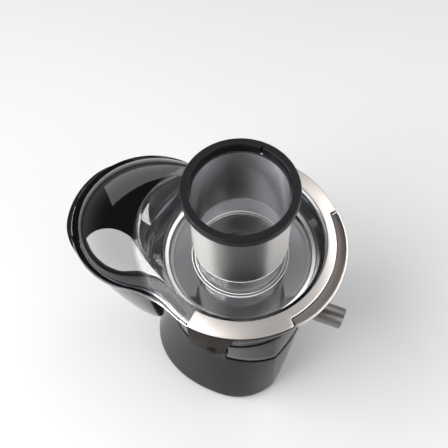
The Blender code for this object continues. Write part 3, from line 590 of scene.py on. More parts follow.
def cover_profile(angle):
    """The cover's section at an angle from +Y, as (radius, z): out along its top and back underneath."""
    back = ease(1 - abs(angle) / BOWL_ANGLE)
    crest_r = mix(CREST_R_FRONT, CREST_R_REAR, back)
    crest_z = mix(CREST_Z_FRONT, CREST_Z_REAR, back)
    edge = flange_radius(angle)
    ledge = mix(LEDGE_BOWL, LEDGE_HOOD, ease((BOWL_ANGLE - abs(angle)) / (BOWL_ANGLE - HOOD_ANGLE)))
    shoulder = edge - ledge
    foot = DISC_TOP + 0.6 * MM
    step = 1.5 * MM

    def wall(t, inset):
        lift = math.sin(t * math.pi / 2)
        return (mix(BEAD_OUT + inset, crest_r, t), mix(foot, crest_z - inset, mix(t, lift, 0.6)))

    def dome(s, inset):
        fall = mix(1 - s ** 1.25, (1 - s ** 2.2) ** 0.75, mix(0.25, 1, back))
        base_z = FLANGE_TOP + step if not inset else FLANGE_TOP
        return (mix(crest_r, shoulder - inset, s), mix(base_z, crest_z - inset, fall))

    def crest(inset):
        """A small round over the crest, so that wall and dome meet in one smooth curve."""
        before, after = wall(0.9, inset), dome(0.06, inset)
        return rounded([before, (crest_r, crest_z - inset * 0.9), after], 3 * MM, 8, closed=False)

    falls = [0.1, 0.16] + spread(0.22, 0.9, 16) + [0.93, 0.96, 0.98, 1.0]
    groove, under, seat = DISC_TOP - 0.7 * MM, DISC_TOP - 2.2 * MM, FLANGE_TOP - 0.8 * MM
    root = [(TUBE_OUT, DISC_TOP + 3.4 * MM), (TUBE_OUT, DISC_TOP), (TUBE_OUT + 5 * MM, DISC_TOP)]
    points = [(TUBE_IN, TUBE_TOP), (TUBE_OUT, TUBE_TOP), (TUBE_OUT, DISC_TOP + 4 * MM)]
    points += rounded(root, 2.4 * MM, 6, closed=False)[1:]
    points += [(55 * MM, DISC_TOP), (BEAD_IN - 0.3 * MM, DISC_TOP), (BEAD_IN, groove), (BEAD_OUT, groove),
               (BEAD_OUT, foot)]
    points += [wall(t, 0) for t in spread(0.06, 0.86, 12)] + crest(0)
    points += [dome(s, 0) for s in falls]
    points += [(shoulder + 0.25 * MM, FLANGE_TOP + 0.9 * MM), (shoulder + 0.35 * MM, FLANGE_TOP - 0.4 * MM),
               (shoulder + 0.8 * MM, seat), (edge - 1.5 * MM, seat), (edge - 1.3 * MM, FLANGE_TOP - 0.2 * MM),
               (edge - 0.9 * MM, FLANGE_TOP), (edge - 0.35 * MM, FLANGE_TOP - 0.15 * MM),
               (edge, FLANGE_TOP - 0.7 * MM), (edge, BOWL_RIM + 0.8 * MM),
               (edge - 0.4 * MM, BOWL_RIM + 0.35 * MM), (shoulder - WALL, BOWL_RIM + 0.3 * MM)]
    points += [dome(s, WALL) for s in falls[:-1][::-1]] + crest(WALL)[::-1]
    points += [wall(t, WALL) for t in spread(0.86, 0.08, 10)]
    soft = 0.6 * MM
    points += [(BEAD_OUT + WALL, under), (TUBE_OUT + soft, under), (TUBE_OUT, under - soft),
               (TUBE_OUT, TUBE_LOW + soft), (TUBE_OUT - soft, TUBE_LOW), (TUBE_IN + soft, TUBE_LOW),
               (TUBE_IN, TUBE_LOW + soft)]
    return points


def make_cover():
    angles = outline_angles()
    profiles = [cover_profile(angle) for angle in angles]
    rings = [
        [(p[k][0] * math.sin(a), AXIS_Y + p[k][0] * math.cos(a), p[k][1]) for a, p in zip(angles, profiles)]
        for k in range(len(profiles[0]))
    ]
    piece("clear_cover", lofted(rings, True, 40), CLEAR, "root", "clear_cover", "cover")

    # An off-white ring round the disc edge: a painted highlight where the cover's fillet catches light.
    bead = rounded([(BEAD_IN + 0.1 * MM, DISC_TOP - 0.55 * MM), (BEAD_IN + 0.1 * MM, DISC_TOP + 0.9 * MM),
                    (BEAD_OUT - 0.1 * MM, DISC_TOP + 1.5 * MM), (BEAD_OUT - 0.1 * MM, DISC_TOP - 0.55 * MM)],
                   mm(0.1, 0.6, 0.5, 0.1), 6)
    piece("disc_bead_highlight", turned(bead, 160), PAINTED_HIGHLIGHT_WHITE, "root", "cast_aluminium")


def make_feed_tube():
    gap = 0.3 * MM
    roll = 0.7 * MM
    skin = SLEEVE_R - 0.1 * MM
    profile = [
        (TUBE_OUT + gap, TUBE_TOP), (skin, TUBE_TOP), (skin, SLEEVE_LOW + 3 * MM),
        (SLEEVE_R + roll * 0.3, SLEEVE_LOW + 2 * MM), (SLEEVE_R + roll * 0.5, SLEEVE_LOW + 1.1 * MM),
        (SLEEVE_R + roll * 0.3, SLEEVE_LOW + 0.3 * MM), (SLEEVE_R - 0.2 * MM, SLEEVE_LOW),
        (TUBE_OUT + gap, SLEEVE_LOW + 0.2 * MM),
    ]
    sleeve = piece("steel_sleeve", turned(rounded(profile, 0.6 * MM, 4), 160), SLEEVE_STEEL, "root",
                   "tube_steel", "feed_sleeve")
    # Inward-facing faces get the lighter copy: painted light on the tube's inside.
    sleeve.data.materials.append(SLEEVE_INSIDE_LIT)
    for face in sleeve.data.polygons:
        outward = Vector((face.center.x, face.center.y - AXIS_Y, 0))
        face.material_index = int(face.normal.dot(outward) < 0)

    # Two thin off-white rings round the tube's root: painted highlight rings.
    for i, radius in enumerate((TUBE_OUT + 0.1 * MM, TUBE_OUT + 2.9 * MM)):
        highlight_band = turned_band(radius, radius + 0.7 * MM, DISC_TOP - 0.3 * MM, DISC_TOP + 0.8 * MM,
                           0.3 * MM, 4, 160)
        piece(f"tube_highlight_ring_{i + 1}", highlight_band, PAINTED_HIGHLIGHT_WHITE, "root", "cast_aluminium")
    # An off-white ring under the sleeve's rolled edge: a painted highlight arc.
    foot_highlight_ring = turned_band(TUBE_OUT + gap, SLEEVE_R + 0.1 * MM, SLEEVE_LOW - 1.2 * MM, SLEEVE_LOW - 0.1 * MM,
                            0.3 * MM, 4, 160)
    piece("sleeve_foot_highlight_ring", foot_highlight_ring, PAINTED_HIGHLIGHT_WHITE, "root", "cast_aluminium")

    neck = RIM_OUT - 0.9 * MM
    outline = [
        (RIM_IN, TOP), (RIM_OUT, TOP), (RIM_OUT, RIM_LOW + 2 * MM), (neck, RIM_LOW + 1.6 * MM),
        (neck, RIM_LOW), (RIM_IN, RIM_LOW),
    ]
    radii = mm(0.8, 1.3, 0.3, 0.3, 0.5, 0.5)
    rim = piece("feed_rim_ring", turned(rounded(outline, radii, 6), 192), RIM_MATTE, "root",
                "matte_black", "feed_rim")
    key_turn = math.radians(-3.5)
    key = Vector((RIM_IN * math.cos(key_turn), AXIS_Y + RIM_IN * math.sin(key_turn), TOP))
    cut(rim, boxed(mm(3.4, 2.2, 30), key, 0.3 * MM, key_turn, 2))


# Bowl, collar and spout

def make_bowl():
    chimney, chimney_top = mm(13.2, 160)
    step_r, channel_r, mouth_r = mm(69.8, 67.4, 85.5)
    floor, channel_top = mm(141.6, 164)
    section = [
        (FLANGE_R, BOWL_RIM), (FLANGE_R - 0.3 * MM, BOWL_RIM - 4.5 * MM),
        (FLANGE_R - 1.4 * MM, BOWL_RIM - 6 * MM), (COLLAR_R_TOP + 0.3 * MM, COLLAR_TOP + 3.4 * MM),
        (COLLAR_R_TOP - 1.4 * MM, COLLAR_TOP + 1 * MM), (step_r, COLLAR_TOP + 0.6 * MM),
        (step_r, BOWL_LOW + 3 * MM), (67 * MM, BOWL_LOW), (chimney, BOWL_LOW), (chimney, chimney_top),
        (chimney + WALL, chimney_top), (chimney + WALL, floor + 0.2 * MM), (65.5 * MM, floor),
        (channel_r, floor + 2.4 * MM), (channel_r, channel_top), (73 * MM, channel_top + 4.6 * MM),
        (mouth_r, BOWL_RIM),
    ]
    radii = mm(0.7, 1.5, 1.2, 2.4, *[1.2] * (len(section) - 5), 0.7)
    bowl = piece("bowl_shell", turned(rounded(section, radii, 5), 144), HOUSING, "root",
                 "gloss_black", "juice_bowl", "cover_gasket")
    root_r, nozzle_r, bore_r = 12.8 * MM, SPOUT_R - 1.4 * MM, 8 * MM
    start, end = mm(64, 100)
    along = [(bore_r, start), (root_r, start), (root_r, SPOUT_START - 0.3 * MM),
             (nozzle_r, SPOUT_START - 0.2 * MM), (nozzle_r, end), (bore_r, end)]
    root = turned(rounded(along, mm(0, 0, 1.6, 0.5, 0.6, 0.4), 5), 72)
    spout_matrix = onto((0, -1, 0), (0, AXIS_Y, SPOUT_Z))
    cut(bowl, moved(turned_solid([(bore_r, 50 * MM), (bore_r, 90 * MM)], 72), spout_matrix))
    piece("spout_nozzle", moved(root, spout_matrix), HOUSING, "root", "gloss_black")

    lean = 2.8 * MM
    inner_r = SPOUT_R - 1 * MM
    # Each ring's radius, whether it lies in the slanted mouth, and how far it is set back
    stations = [(SPOUT_R - 0.5 * MM, False, 0), (SPOUT_R, False, -0.6 * MM),
                (SPOUT_R - 0.12 * MM, True, 1 * MM), (SPOUT_R, True, 0.35 * MM),
                (SPOUT_R - 0.35 * MM, True, 0), (inner_r, True, 0.1 * MM), (inner_r, False, 0)]
    rings = []
    for radius, mouth, back in stations:
        points = []
        for i in range(96):
            turn = math.tau * i / 96
            x, z = radius * math.cos(turn), radius * math.sin(turn)
            reach = SPOUT_START - back
            if mouth:
                reach = SPOUT_REACH - lean * (SPOUT_R - z) / (2 * SPOUT_R) - back
            points.append((x, AXIS_Y - reach, SPOUT_Z + z))
        rings.append(points)
    piece("spout_tube", lofted(rings, True, 40), SPOUT_STEEL, "root", "spout_steel", "spout_sleeve")


def make_collar():
    """Round under the bowl, and the base's outline at its foot."""
    foot = base_section(COLLAR_LOW, 0.6 * MM)
    directions = [Vector((x, y - AXIS_Y)).normalized() for x, y, _ in foot]

    def band(t, inset):
        points = []
        for d, (x, y, _) in zip(directions, foot):
            top = Vector((d.x * COLLAR_R_TOP, AXIS_Y + d.y * COLLAR_R_TOP))
            spot = top.lerp(Vector((x, y)), t)
            points.append((spot.x - d.x * inset, spot.y - d.y * inset, mix(COLLAR_TOP, COLLAR_LOW, t)))
        return points

    outline = [(0.0, 0.4), (0.012, 0.05), (0.03, 0.0), (0.25, 0.0), (0.5, 0.0), (0.75, 0.0), (0.97, 0.0),
               (1.0, 0.3), (1.0, 1.6), (0.5, 1.6), (0.0, 1.6)]
    rings = [band(t, inset * MM) for t, inset in outline]
    collar = piece("collar_band", lofted(rings, True, 30), COLLAR_STEEL, "root",
                   "collar_steel", "steel_collar")
    radius, tall = mm(13.4, 30)
    slot = [(radius * math.cos(t), radius * math.sin(t)) for t in spread(-math.pi, 0, 33)]
    slot += [(radius, tall), (-radius, tall)]
    rings = [[(x, AXIS_Y - y, SPOUT_Z + z) for x, z in slot] for y in (55 * MM, 90 * MM)]
    cut(collar, lofted(rings))


# Base

def base_section(z, inset=0.0):
    """The base outline at height z: squarish sides, a round rear and a bowed front between two creases."""
    drop = max(0, (BASE_TOP - z) / (BASE_TOP - FOOT_TOP)) ** 1.1
    side = mix(SIDE_TOP, SIDE_FOOT, drop) - inset
    rear = mix(REAR_TOP, REAR_FOOT, drop) - inset
    front = mix(FRONT_TOP, FRONT_FOOT, drop) - inset
    crease_x = mix(CREASE_X_TOP, CREASE_X_FOOT, drop) - inset
    crease_y = CREASE_Y - inset
    depth = crease_y / (1 - (crease_x / side) ** SQUARENESS) ** (1 / SQUARENESS)
    front_power, rear_power = 2 / SQUARENESS, 2 / mix(2, REAR_SQUARENESS, drop)
    first = math.asin((crease_x / side) ** (1 / front_power))
    half = [(side * math.sin(turn) ** front_power, -depth * math.cos(turn) ** front_power)
            for turn in spread(first, math.pi / 2, 21)[:-1]]
    half += [(side * math.cos(turn) ** rear_power, rear * math.sin(turn) ** rear_power)
             for turn in spread(0, math.pi / 2, 41)[:-1]]
    points = half + [(0, rear)] + [(-x, y) for x, y in half[::-1]]
    last = len(points) - 1
    points += [(share * crease_x, mix(-front, -crease_y, share ** 2)) for share in spread(-1, 1, 21)[1:-1]]
    soft = 1.6 * MM
    radii = [soft if i in (0, last) else 0 for i in range(len(points))]
    return [(x, AXIS_Y + y, z) for x, y in rounded(points, radii, 4)]


def make_base():
    round_top = [(BASE_TOP - 1.6 * MM, 0), (BASE_TOP - 0.8 * MM, 0.15 * MM), (BASE_TOP - 0.25 * MM, 0.6 * MM),
                 (BASE_TOP, 1.4 * MM)]
    round_foot = [(FOOT_TOP, 1.2 * MM), (FOOT_TOP + 0.35 * MM, 0.4 * MM), (FOOT_TOP + 1.2 * MM, 0)]
    levels = round_foot + [(z, 0) for z in spread(FOOT_TOP + 6 * MM, BASE_TOP - 5 * MM, 16)] + round_top
    rings = [base_section(z, inset) for z, inset in levels]
    shelf = [Vector((x, y - AXIS_Y)).normalized() * SHELF_R for x, y, _ in base_section(BASE_TOP)]
    shelf_low = BASE_TOP - 3 * MM
    for z in (BASE_TOP, shelf_low):
        rings.append([(d.x, AXIS_Y + d.y, z) for d in shelf])
    rings += [base_section(z, WALL) for z in spread(shelf_low, FOOT_TOP, 8)]
    shell = piece("base_casing", lofted(rings, True, 30), CASING_SHADED, "root", "gloss_black", "base_shell")
    gap = 0.3 * MM
    reach = 30 * MM
    holes = [(BEZEL_R, BEZEL, (1, 0, 0)), (LENS_R, middle("indicator_lens"), (1, 0, 0)),
             (GLAND_R, middle("cord_gland"), (0, 1, 0))]
    for radius, place, axis in holes:
        rod = turned_solid([(radius + gap, -reach), (radius + gap, reach)], 64)
        cut(shell, moved(rod, onto(axis, place)))

    pad_profile = [(CORE, 0), (6 * MM, 0), (6.4 * MM, 0.5 * MM), (7.6 * MM, 0.5 * MM), (8.2 * MM, 0),
                   (8.6 * MM, 0.1 * MM), (9.1 * MM, 0.8 * MM), (9.4 * MM, 4.7 * MM), (CORE, 4.7 * MM)]
    for i in range(1, 5):
        node = f"rubber_foot_{i}"
        place = middle(node)
        mesh = turned_solid(pad_profile, 48)
        piece(f"foot_pad_{i}", moved(mesh, onto((0, 0, 1), (place.x, place.y, FLOOR_Z))), RUBBER, "root",
              "rubber", node)


def make_gland():
    """A ribbed grommet with an open bore, standing a little proud of the shell."""
    place = middle("cord_gland")
    start, end = low("cord_gland").y - place.y, high("cord_gland").y - place.y
    bore = 3.7 * MM
    first, pitch = end - 6 * MM, 1.7 * MM
    groove_r = GLAND_R - 1.2 * MM
    ribs = [(bore, start), (GLAND_R, start), (GLAND_R, first)]
    for k in range(3):
        at = first + k * pitch
        ribs += [(GLAND_R, at + 0.3 * MM), (GLAND_R, at + 0.9 * MM), (groove_r, at + 1.1 * MM),
                 (groove_r, at + 1.5 * MM)]
    ribs += [(GLAND_R - 0.4 * MM, end), (bore, end)]
    mesh = turned(ribs, 48)
    piece("grommet", moved(mesh, onto((0, 1, 0), place)), RUBBER, "root", "rubber", "cord_gland")


# Controls on the +X side

def make_controls():
    face = BEZEL_FACE - BEZEL.x
    depth = low("dial_bezel").x - BEZEL.x
    profile = [(4 * MM, depth), (BEZEL_R, depth), (BEZEL_R, face - 0.6 * MM), (BEZEL_R - 0.7 * MM, face),
               (KNOB_R + 0.9 * MM, face), (KNOB_R + 0.5 * MM, face - 0.7 * MM), (4 * MM, face - 0.7 * MM)]
    mesh = turned(rounded(profile, 0.3 * MM, 3), 96)
    piece("bezel_ring", moved(mesh, onto((1, 0, 0), BEZEL)), MATTE, "root", "matte_black", "dial_bezel")

    hub = middle("control_knob")
    base, tip = low("control_knob").x, high("control_knob").x
    flutes, flute_depth = 24, 0.35 * MM
    rings = []
    # Each ring's place along +X, its share of the knob's radius and its share of the flutes' depth
    levels = [(base, 0.96, 1), (base + 0.4 * MM, 1.0, 1), (tip - 3.4 * MM, 0.93, 1),
              (tip - 2.2 * MM, 0.915, 0.8), (tip - 1.0 * MM, 0.885, 0.4), (tip - 0.3 * MM, 0.85, 0.1),
              (tip, 0.8, 0), (tip - 0.5 * MM, 0.7, 0), (tip - 0.8 * MM, 0.5, 0), (tip - 0.85 * MM, 0.02, 0)]
    for x, size, flute in levels:
        points = []
        for i in range(flutes * 8):
            turn = math.tau * i / (flutes * 8)
            radius = KNOB_R * size - flute * flute_depth * (0.5 - 0.5 * math.cos(flutes * turn)) ** 2
            points.append((x, hub.y + radius * math.cos(turn), BEZEL.z + radius * math.sin(turn)))
        rings.append(points)
    piece("knob_cap", lofted(rings, False, 40), KNOB_STEEL, "knob", "knob_steel", "control_knob",
          "knob_shaft")
    mark = boxed(mm(1.0, 1.7, 7), (tip - 0.6 * MM, hub.y, BEZEL.z + 7 * MM), 0.3 * MM)
    piece("knob_mark", mark, WHITE, "knob", "pointer_white", "knob_pointer")

    lens = middle("indicator_lens")
    half, bulge = half_span("indicator_lens"), 1.4 * MM
    dome = [(CORE, -half), (LENS_R, -half), (LENS_R, half - bulge)]
    dome += [(LENS_R * math.cos(t), half - bulge + bulge * math.sin(t)) for t in spread(0.2, 1.5, 7)]
    mesh = turned_solid(dome, 48)
    piece("lamp_lens", moved(mesh, onto((1, 0, 0), lens)), LENS, "root", "lens", "indicator_lens")


# Locking arm

def arm_top(radius):
    return ARM_TOP - ARM_SLOPE * (radius - ARM_IN)


def grip_edge(turn):
    """The finger grip's outer radius, which bows out in the middle."""
    return mix(93.4 * MM, 96.4 * MM, math.sqrt(max(0, 1 - (turn / GRIP_HALF_ANGLE) ** 2)))


def arm_edge(turn):
    """The steel ring's outer radius, which steps in where the finger grip is."""
    return mix(GRIP_STEP_R, ARM_OUT, ease((abs(turn) - GRIP_HALF_ANGLE) / GRIP_STEP))


def arm_section(turn):
    """An angle section: gently sloping top, crisp outer bend and a skirt that grows into the ear."""
    edge, thick, skirt = arm_edge(turn), 2.2 * MM, 7 * MM
    outside = edge + 0.6 * MM
    ear = min(1, max(0, (abs(turn) - EAR_START) / (EAR_FULL - EAR_START)))
    bottom = ARM_TOP - mix(skirt, ARM_TOP - EAR_LOW, ear)
    outline = [
        (ARM_IN, arm_top(ARM_IN)), (outside, arm_top(edge)), (outside, bottom),
        (outside - thick, bottom), (outside - thick, arm_top(edge) - thick),
        (ARM_IN, arm_top(ARM_IN) - thick),
    ]
    return rounded(outline, mm(0.7, 1.1, 0.5, 0.5, 0.6, 0.7), 4)


def arc_rings(section, turns):
    return [[(r * math.sin(t), AXIS_Y - r * math.cos(t), z) for r, z in section(t)] for t in turns]


def arm_turns():
    step_end = GRIP_HALF_ANGLE + GRIP_STEP
    half = spread(0, GRIP_HALF_ANGLE, 27) + spread(GRIP_HALF_ANGLE, step_end, 6)[1:]
    half += spread(step_end, EAR_START, 20)[1:] + spread(EAR_START, EAR_FULL, 8)[1:]
    half += spread(EAR_FULL, ARM_HALF_ANGLE, 14)[1:]
    return [-turn for turn in half[:0:-1]] + half


def make_arm():
    ring = piece("arm_band", lofted(arc_rings(arm_section, arm_turns()), False, 35), ARM_STEEL,
                 "locking_arm", "arm_steel", "arm_ring")
    ring.data.materials.append(ARM_SIDE)
    for face in ring.data.polygons:
        face.material_index = int(abs(face.normal.z) < 0.5)
    hole_r, reach = mm(3.4, 110)
    hole = turned_solid([(hole_r, -reach), (hole_r, reach)], 48)
    cut(ring, moved(hole, onto((1, 0, 0), (0, PIVOT.y, PIVOT.z))))

    grip_top = arm_top(90 * MM)

    def grip_section(turn):
        inner, outer = 88.4 * MM, grip_edge(turn)
        outline = [(inner, grip_top - 1.2 * MM), (mix(inner, outer, 0.5), grip_top - 3.0 * MM),
                   (outer, grip_top - 2.2 * MM), (outer, grip_top - 5.2 * MM), (inner, grip_top - 5.2 * MM)]
        return rounded(outline, mm(0.3, 3, 0.3, 0.5, 0.5), 5)

    def trim_section(turn):
        inner = grip_edge(turn) + 0.2 * MM
        outer = inner + 1.9 * MM
        outline = [(inner, grip_top - 0.6 * MM), (outer, grip_top - 1.0 * MM), (outer, grip_top - 5.6 * MM),
                   (inner, grip_top - 5.6 * MM)]
        return rounded(outline, 0.6 * MM, 5)

    end_gap = 0.007
    grip_half = GRIP_HALF_ANGLE - end_gap
    turns = spread(-grip_half, grip_half, 53)
    piece("finger_grip", lofted(arc_rings(grip_section, turns), False, 35), GRIP,
          "locking_arm", "grip_grey", "arm_grip")
    piece("grip_lip", lofted(arc_rings(trim_section, turns), False, 35), ARM_STEEL,
          "locking_arm", "arm_steel", "grip_trim")

    outline = [(76.6, 134), (77.4, 165), (88.3, 213.5), (91.0, 213.5), (91.0, 199), (80.8, 164), (79.6, 134)]
    points = rounded([mm(x, z) for x, z in outline], mm(0.6, 9, 1, 1, 6, 9, 0.6), 6)
    centre = Vector(mm(84, 174))
    half_depth, edge = mm(7, 0.5)
    eased = 0.9958  # How large the outline is at the strap's edges
    stations = ((-half_depth, eased), (edge - half_depth, 1), (half_depth - edge, 1), (half_depth, eased))
    for i, side in enumerate((-1, 1)):
        node = f"pivot_post_{i + 1}"
        rings = [[(side * mix(centre.x, x, size), PIVOT.y + y, mix(centre.y, z, size)) for x, z in points]
                 for y, size in stations]
        piece(f"arm_strap_{i + 1}", lofted(rings, False, 35), ARM_SIDE, "root", "matte_black", node)
        pin = f"arm_pivot_pin_{i + 1}"
        start, end = 91.3 * MM, abs(low(pin).x) if side < 0 else high(pin).x
        profile = [(CORE, start), (3 * MM, start), (3 * MM, end - 1.3 * MM), (4.9 * MM, end - 1.25 * MM),
                   (4.9 * MM, end - 0.7 * MM), (4.2 * MM, end - 0.25 * MM), (2.6 * MM, end), (1.4 * MM, end),
                   (1.2 * MM, end - 0.5 * MM), (CORE, end - 0.5 * MM)]
        mesh = turned_solid(profile, 48)
        piece(f"rivet_{i + 1}", moved(mesh, onto((side, 0, 0), (0, PIVOT.y, PIVOT.z))), ARM_SIDE, "root",
              "fastener_steel", pin)


# Basket, seen through the clear cover

def make_basket():
    top = high("grater_disc").z - 1.4 * MM
    edge = BASKET_R_LOW - 0.4 * MM
    plate = [(CORE, BASKET_FLOOR), (edge, BASKET_FLOOR), (edge, top), (30 * MM, top), (13 * MM, top),
             (12.4 * MM, top + 0.5 * MM), (9.6 * MM, top + 0.7 * MM), (9 * MM, top + 0.2 * MM),
             (6 * MM, top + 0.1 * MM), (5.6 * MM, top + 0.9 * MM), (4.8 * MM, top + 1.2 * MM),
             (CORE, top + 1.3 * MM)]
    piece("grater_plate", turned_solid(plate, 128), BASKET_STEEL, "basket_drive",
          "basket_steel", "grater_disc")

    bm = bmesh.new()
    spirals, teeth = 12, 9
    for spiral in range(spirals):
        for tooth in range(teeth):
            radius = (14.5 + 2.9 * tooth) * MM
            turn = math.tau * spiral / spirals + 0.055 * tooth
            place = Vector((radius * math.cos(turn), AXIS_Y + radius * math.sin(turn), top + 0.5 * MM))
            made = bmesh.ops.create_cone(bm, cap_ends=True, segments=4, radius1=0.95 * MM, radius2=0.16 * MM,
                                         depth=1.4 * MM)
            bmesh.ops.rotate(bm, cent=(0, 0, 0), matrix=Matrix.Rotation(turn, 3, "Z"), verts=made["verts"])
            bmesh.ops.translate(bm, vec=place, verts=made["verts"])
    piece("grater_teeth", finish_mesh(bm, 30), BASKET_STEEL, "basket_drive", "basket_steel")

    make_mesh_cone()
    rim_low, rim_high = low("basket_rim").z, high("basket_rim").z
    inner, outer = BASKET_R_TOP - 2.4 * MM, BASKET_R_TOP + 1 * MM
    piece("basket_rim_bead", turned_band(inner, outer, rim_low, rim_high, 1.1 * MM, 5, 128), BASKET_STEEL,
          "basket_drive", "basket_steel", "basket_rim")


def on_cone(t, inset):
    """(radius, z) at a share t of the basket's height, inset millimetres inside its outer face."""
    return mix(BASKET_R_LOW, BASKET_R_TOP, t) - inset * MM, mix(BASKET_FLOOR, BASKET_TOP, t)


def make_mesh_cone():
    """The filter: a lattice of crossing strands, plain bands at foot and top, and a thin sheet."""
    around, rows = 150, 17
    strand = 0.42 * MM
    bm = bmesh.new()
    grid = []
    for row in range(rows + 1):
        radius, z = on_cone(mix(0.06, 0.94, row / rows), 0.3)
        turns = [math.tau * (i + 0.5 * (row % 2)) / around for i in range(around)]
        grid.append([bm.verts.new((radius * math.cos(a), AXIS_Y + radius * math.sin(a), z)) for a in turns])
    for row in range(rows - 1):
        lower, middle_row, upper = grid[row], grid[row + 1], grid[row + 2]
        for i in range(around):
            side = i + (row % 2)
            bm.faces.new((lower[i], middle_row[side % around], upper[i], middle_row[(side - 1) % around]))
    lattice = piece("filter_lattice", as_mesh(bm), BASKET_STEEL, "basket_drive", "basket_steel",
                    "filter_mesh")
    wires = lattice.modifiers.new("strands", "WIREFRAME")
    wires.thickness = strand
    wires.use_replace = True
    wires.use_even_offset = False
    bands = (("filter_foot_band", 0.0, 0.1, 0.9), ("filter_top_band", 0.9, 1.0, 0.9),
             ("filter_sheet", 0.08, 0.92, 0.2))
    for name, first, last, thick in bands:
        profile = [on_cone(first, thick), on_cone(last, thick), on_cone(last, 0), on_cone(first, 0)]
        piece(name, turned(rounded(profile, 0.05 * MM, 3), 128), BASKET_STEEL, "basket_drive",
              "basket_steel")


# Pulp container

def container_section(z, inset, lip=0.0):
    rise = (z - CONTAINER_LOW) / (CONTAINER_TOP - CONTAINER_LOW)
    radius = mix(*BIN_R, max(rise, 0) ** 0.8) - inset
    centre = mix(*BIN_CENTRE, rise)
    hollow = mix(*BIN_HOLLOW, rise) + inset
    y = (hollow ** 2 - radius ** 2 + centre ** 2) / (2 * centre)
    x = math.sqrt(hollow ** 2 - y ** 2)
    rear_half, front_half = math.atan2(x, y - centre), math.atan2(x, y)
    rear_count = 81
    points = []
    for t in spread(rear_half, -rear_half, rear_count):
        reach = radius + lip * ease((LIP_END - abs(t)) / (LIP_END - LIP_FULL))
        points.append((reach * math.sin(t), centre + reach * math.cos(t)))
    inside = spread(-front_half, front_half, 41)[1:-1]
    points += [(hollow * math.sin(t), hollow * math.cos(t)) for t in inside]
    return [(px, AXIS_Y + py, z) for px, py in corner_rounded(points, (0, rear_count - 1))]


def corner_rounded(points, corners):
    """Rounds the two horns, whose neighbours stand close, by walking back along the outline."""
    count, reach, steps = len(points), 4, 6
    flat = [Vector(point) for point in points]
    made = []
    for i, point in enumerate(flat):
        near = min(min(abs(i - k), count - abs(i - k)) for k in corners)
        if near >= reach:
            made.append(tuple(point))
        elif near == 0:
            start, end = flat[(i - reach) % count], flat[(i + reach) % count]
            for k in range(1, steps):
                t = k / steps
                made.append(tuple(start * (1 - t) ** 2 + point * 2 * t * (1 - t) + end * t * t))
    return made


def make_container():
    foot = [(CONTAINER_LOW, 3.0), (CONTAINER_LOW + 0.4 * MM, 1.4), (CONTAINER_LOW + 1.4 * MM, 0.4),
            (CONTAINER_LOW + 3 * MM, 0)]
    outer = foot + [(z, 0) for z in spread(CONTAINER_LOW + 8 * MM, CONTAINER_TOP - 13 * MM, 14)]
    rings = [container_section(z, inset * MM) for z, inset in outer]
    # Each ring's depth under the lip's top, its inset, and its share of the lip
    lip = [(9.6, 0, 0), (8.6, 0, 0.12), (7.6, 0, 0.55), (7.0, 0, 0.9), (6.3, 0, 1.0), (1.2, 0, 1.0),
           (0.4, 0.15, 1.0), (0.05, 0.6, 1.0), (0.0, 1.2, 1.0), (0.0, 2.0, 0.5), (0.1, 2.2, 0.0)]
    rings += [container_section(CONTAINER_TOP - down * MM, inset * MM, LIP * share)
              for down, inset, share in lip]
    inner = [(z, 2.4) for z in spread(CONTAINER_TOP - 4 * MM, CONTAINER_LOW + 6 * MM, 10)]
    inner += [(CONTAINER_LOW + 3.4 * MM, 3.4), (CONTAINER_LOW + 2.5 * MM, 5.5)]
    rings += [container_section(z, inset * MM) for z, inset in inner]
    piece("pulp_bin", lofted(rings, False, 34), GLOSS, "container", "gloss_black", "pulp_container")
    lug_x, lug_back, lug_z = mm(67.2, 73, 210)
    lug_size = mm(7.4, 25, 12)
    for i, side in enumerate((-1, 1)):
        lug = boxed(lug_size, (side * lug_x, AXIS_Y + lug_back, lug_z), 3.2 * MM, 0, 6)
        piece(f"finger_lug_{i + 1}", lug, GLOSS, "container", "gloss_black")


# Materials of the CAD nodes that stay

def numbered(name, count):
    return [f"{name}_{i + 1}" for i in range(count)]


KEPT = (
    (MATTE, ["base_plate", "motor_deck", "rotary_switch", "interlock_switch", "cooling_fan", "basket_hub"]),
    (FASTENER, ["upper_bearing", "lower_bearing", "motor_shaft", "drive_coupling",
                *numbered("base_screw", 4)]),
    (RUBBER, ["shaft_seal", *numbered("motor_mount", 4)]),
    (COPPER, ["upper_windings", "lower_windings", "commutator"]),
    (LAMINATED, ["stator_core", "rotor_core"]),
    (ALUMINIUM, ["upper_bracket", "lower_bracket"]),
    (BRASS, numbered("brush_holder", 2)),
    (CARBON, numbered("carbon_brush", 2)),
    (BOARD, ["control_board"]),
)


def paint_kept():
    for mat, nodes in KEPT:
        for node in nodes:
            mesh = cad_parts[node].data
            mesh.materials.clear()
            mesh.materials.append(mat)


# Floor, light and camera

HORIZON_END, HORIZON_LEVEL = 0.05, 0.42
CEILING_START, CEILING_LEVEL = 0.62, 0.08


def make_floor():
    made = Nodes("studio_floor", (0.38, 0.38, 0.385), 0.6)
    made.rough(made.mottle(3, 2), 0.5, 0.62)
    bm = bmesh.new()
    bmesh.ops.create_grid(bm, x_segments=8, y_segments=8, size=6)
    mesh = as_mesh(bm, "floor")
    mesh.materials.append(made.mat)
    floor = added("floor", mesh)
    floor.location.z = FLOOR_Z


def softbox(name, place, width, height, radiance, aim=(0, 0, 0.2), turn=0.0):
    """An area light with its face towards aim, turned about +Z. radiance sets how bright its face looks."""
    light = bpy.data.lights.new(name, "AREA")
    light.shape = "RECTANGLE"
    light.size, light.size_y = width, height
    light.energy = radiance * math.pi * width * height
    obj = added(name, light)
    obj.location = place
    obj.rotation_mode = "QUATERNION"
    facing = (Vector(aim) - Vector(place)).to_track_quat("-Z", "Y")
    obj.rotation_quaternion = Quaternion((0, 0, 1), math.radians(turn)) @ facing


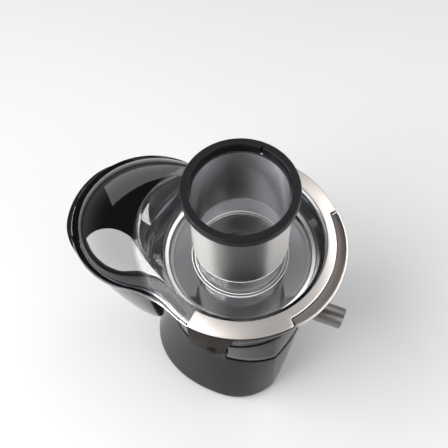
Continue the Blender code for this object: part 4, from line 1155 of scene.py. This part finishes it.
def make_world():
    """An even studio room: pale low down on every side and darker overhead."""
    world = bpy.data.worlds.new("studio")
    bpy.context.scene.world = world
    world.use_nodes = True
    tree = world.node_tree
    split = tree.nodes.new("ShaderNodeSeparateXYZ")
    tree.links.new(tree.nodes.new("ShaderNodeTexCoord").outputs["Generated"], split.inputs[0])
    fade = tree.nodes.new("ShaderNodeMapRange")
    fade.interpolation_type = "SMOOTHSTEP"
    tree.links.new(split.outputs["Z"], fade.inputs["Value"])
    for socket, value in (("From Min", HORIZON_END), ("From Max", CEILING_START),
                          ("To Min", HORIZON_LEVEL), ("To Max", CEILING_LEVEL)):
        fade.inputs[socket].default_value = value
    background = tree.nodes["Background"]
    background.inputs["Color"].default_value = (0.95, 0.97, 1.0, 1)
    tree.links.new(fade.outputs[0], background.inputs["Strength"])


def make_camera():
    """Above the -X side, 61.5 degrees up, as the reference view."""
    offset = Vector((-257.7, -98.9, 451.5)) * MM
    look = Vector((0.4455, 0.1710, -0.8788))
    camera = bpy.data.cameras.new("camera")
    camera.sensor_width = 36
    camera.lens = 53.4
    camera.shift_x, camera.shift_y = -0.0368, -0.0045
    camera.clip_start, camera.clip_end = 0.02, 30
    obj = added("camera", camera)
    obj.location = Vector((0, AXIS_Y, TOP)) + offset
    obj.rotation_mode = "QUATERNION"
    obj.rotation_quaternion = look.to_track_quat("-Z", "Y")
    bpy.context.scene.camera = obj


make_camera()
make_world()
make_floor()
softbox("overhead", (0.85, 0.20, 1.75), 0.60, 0.78, 1.3, aim=(0.85, 0.20, 0), turn=21)
softbox("front", (0.22, -1.38, 0.72), 1.9, 1.25, 5.6)
softbox("right", (1.02, -0.50, 1.30), 0.6, 0.5, 9.0)
softbox("left", (-0.58, 0.76, 0.98), 1.25, 1.6, 8.6)
softbox("behind", (1.22, 0.95, 0.95), 1.6, 1.1, 1.4)
bpy.context.scene.view_settings.view_transform = "Standard"

make_base()
make_gland()
make_controls()
make_collar()
make_bowl()
make_basket()
make_cover()
make_feed_tube()
make_arm()
make_container()
paint_kept()
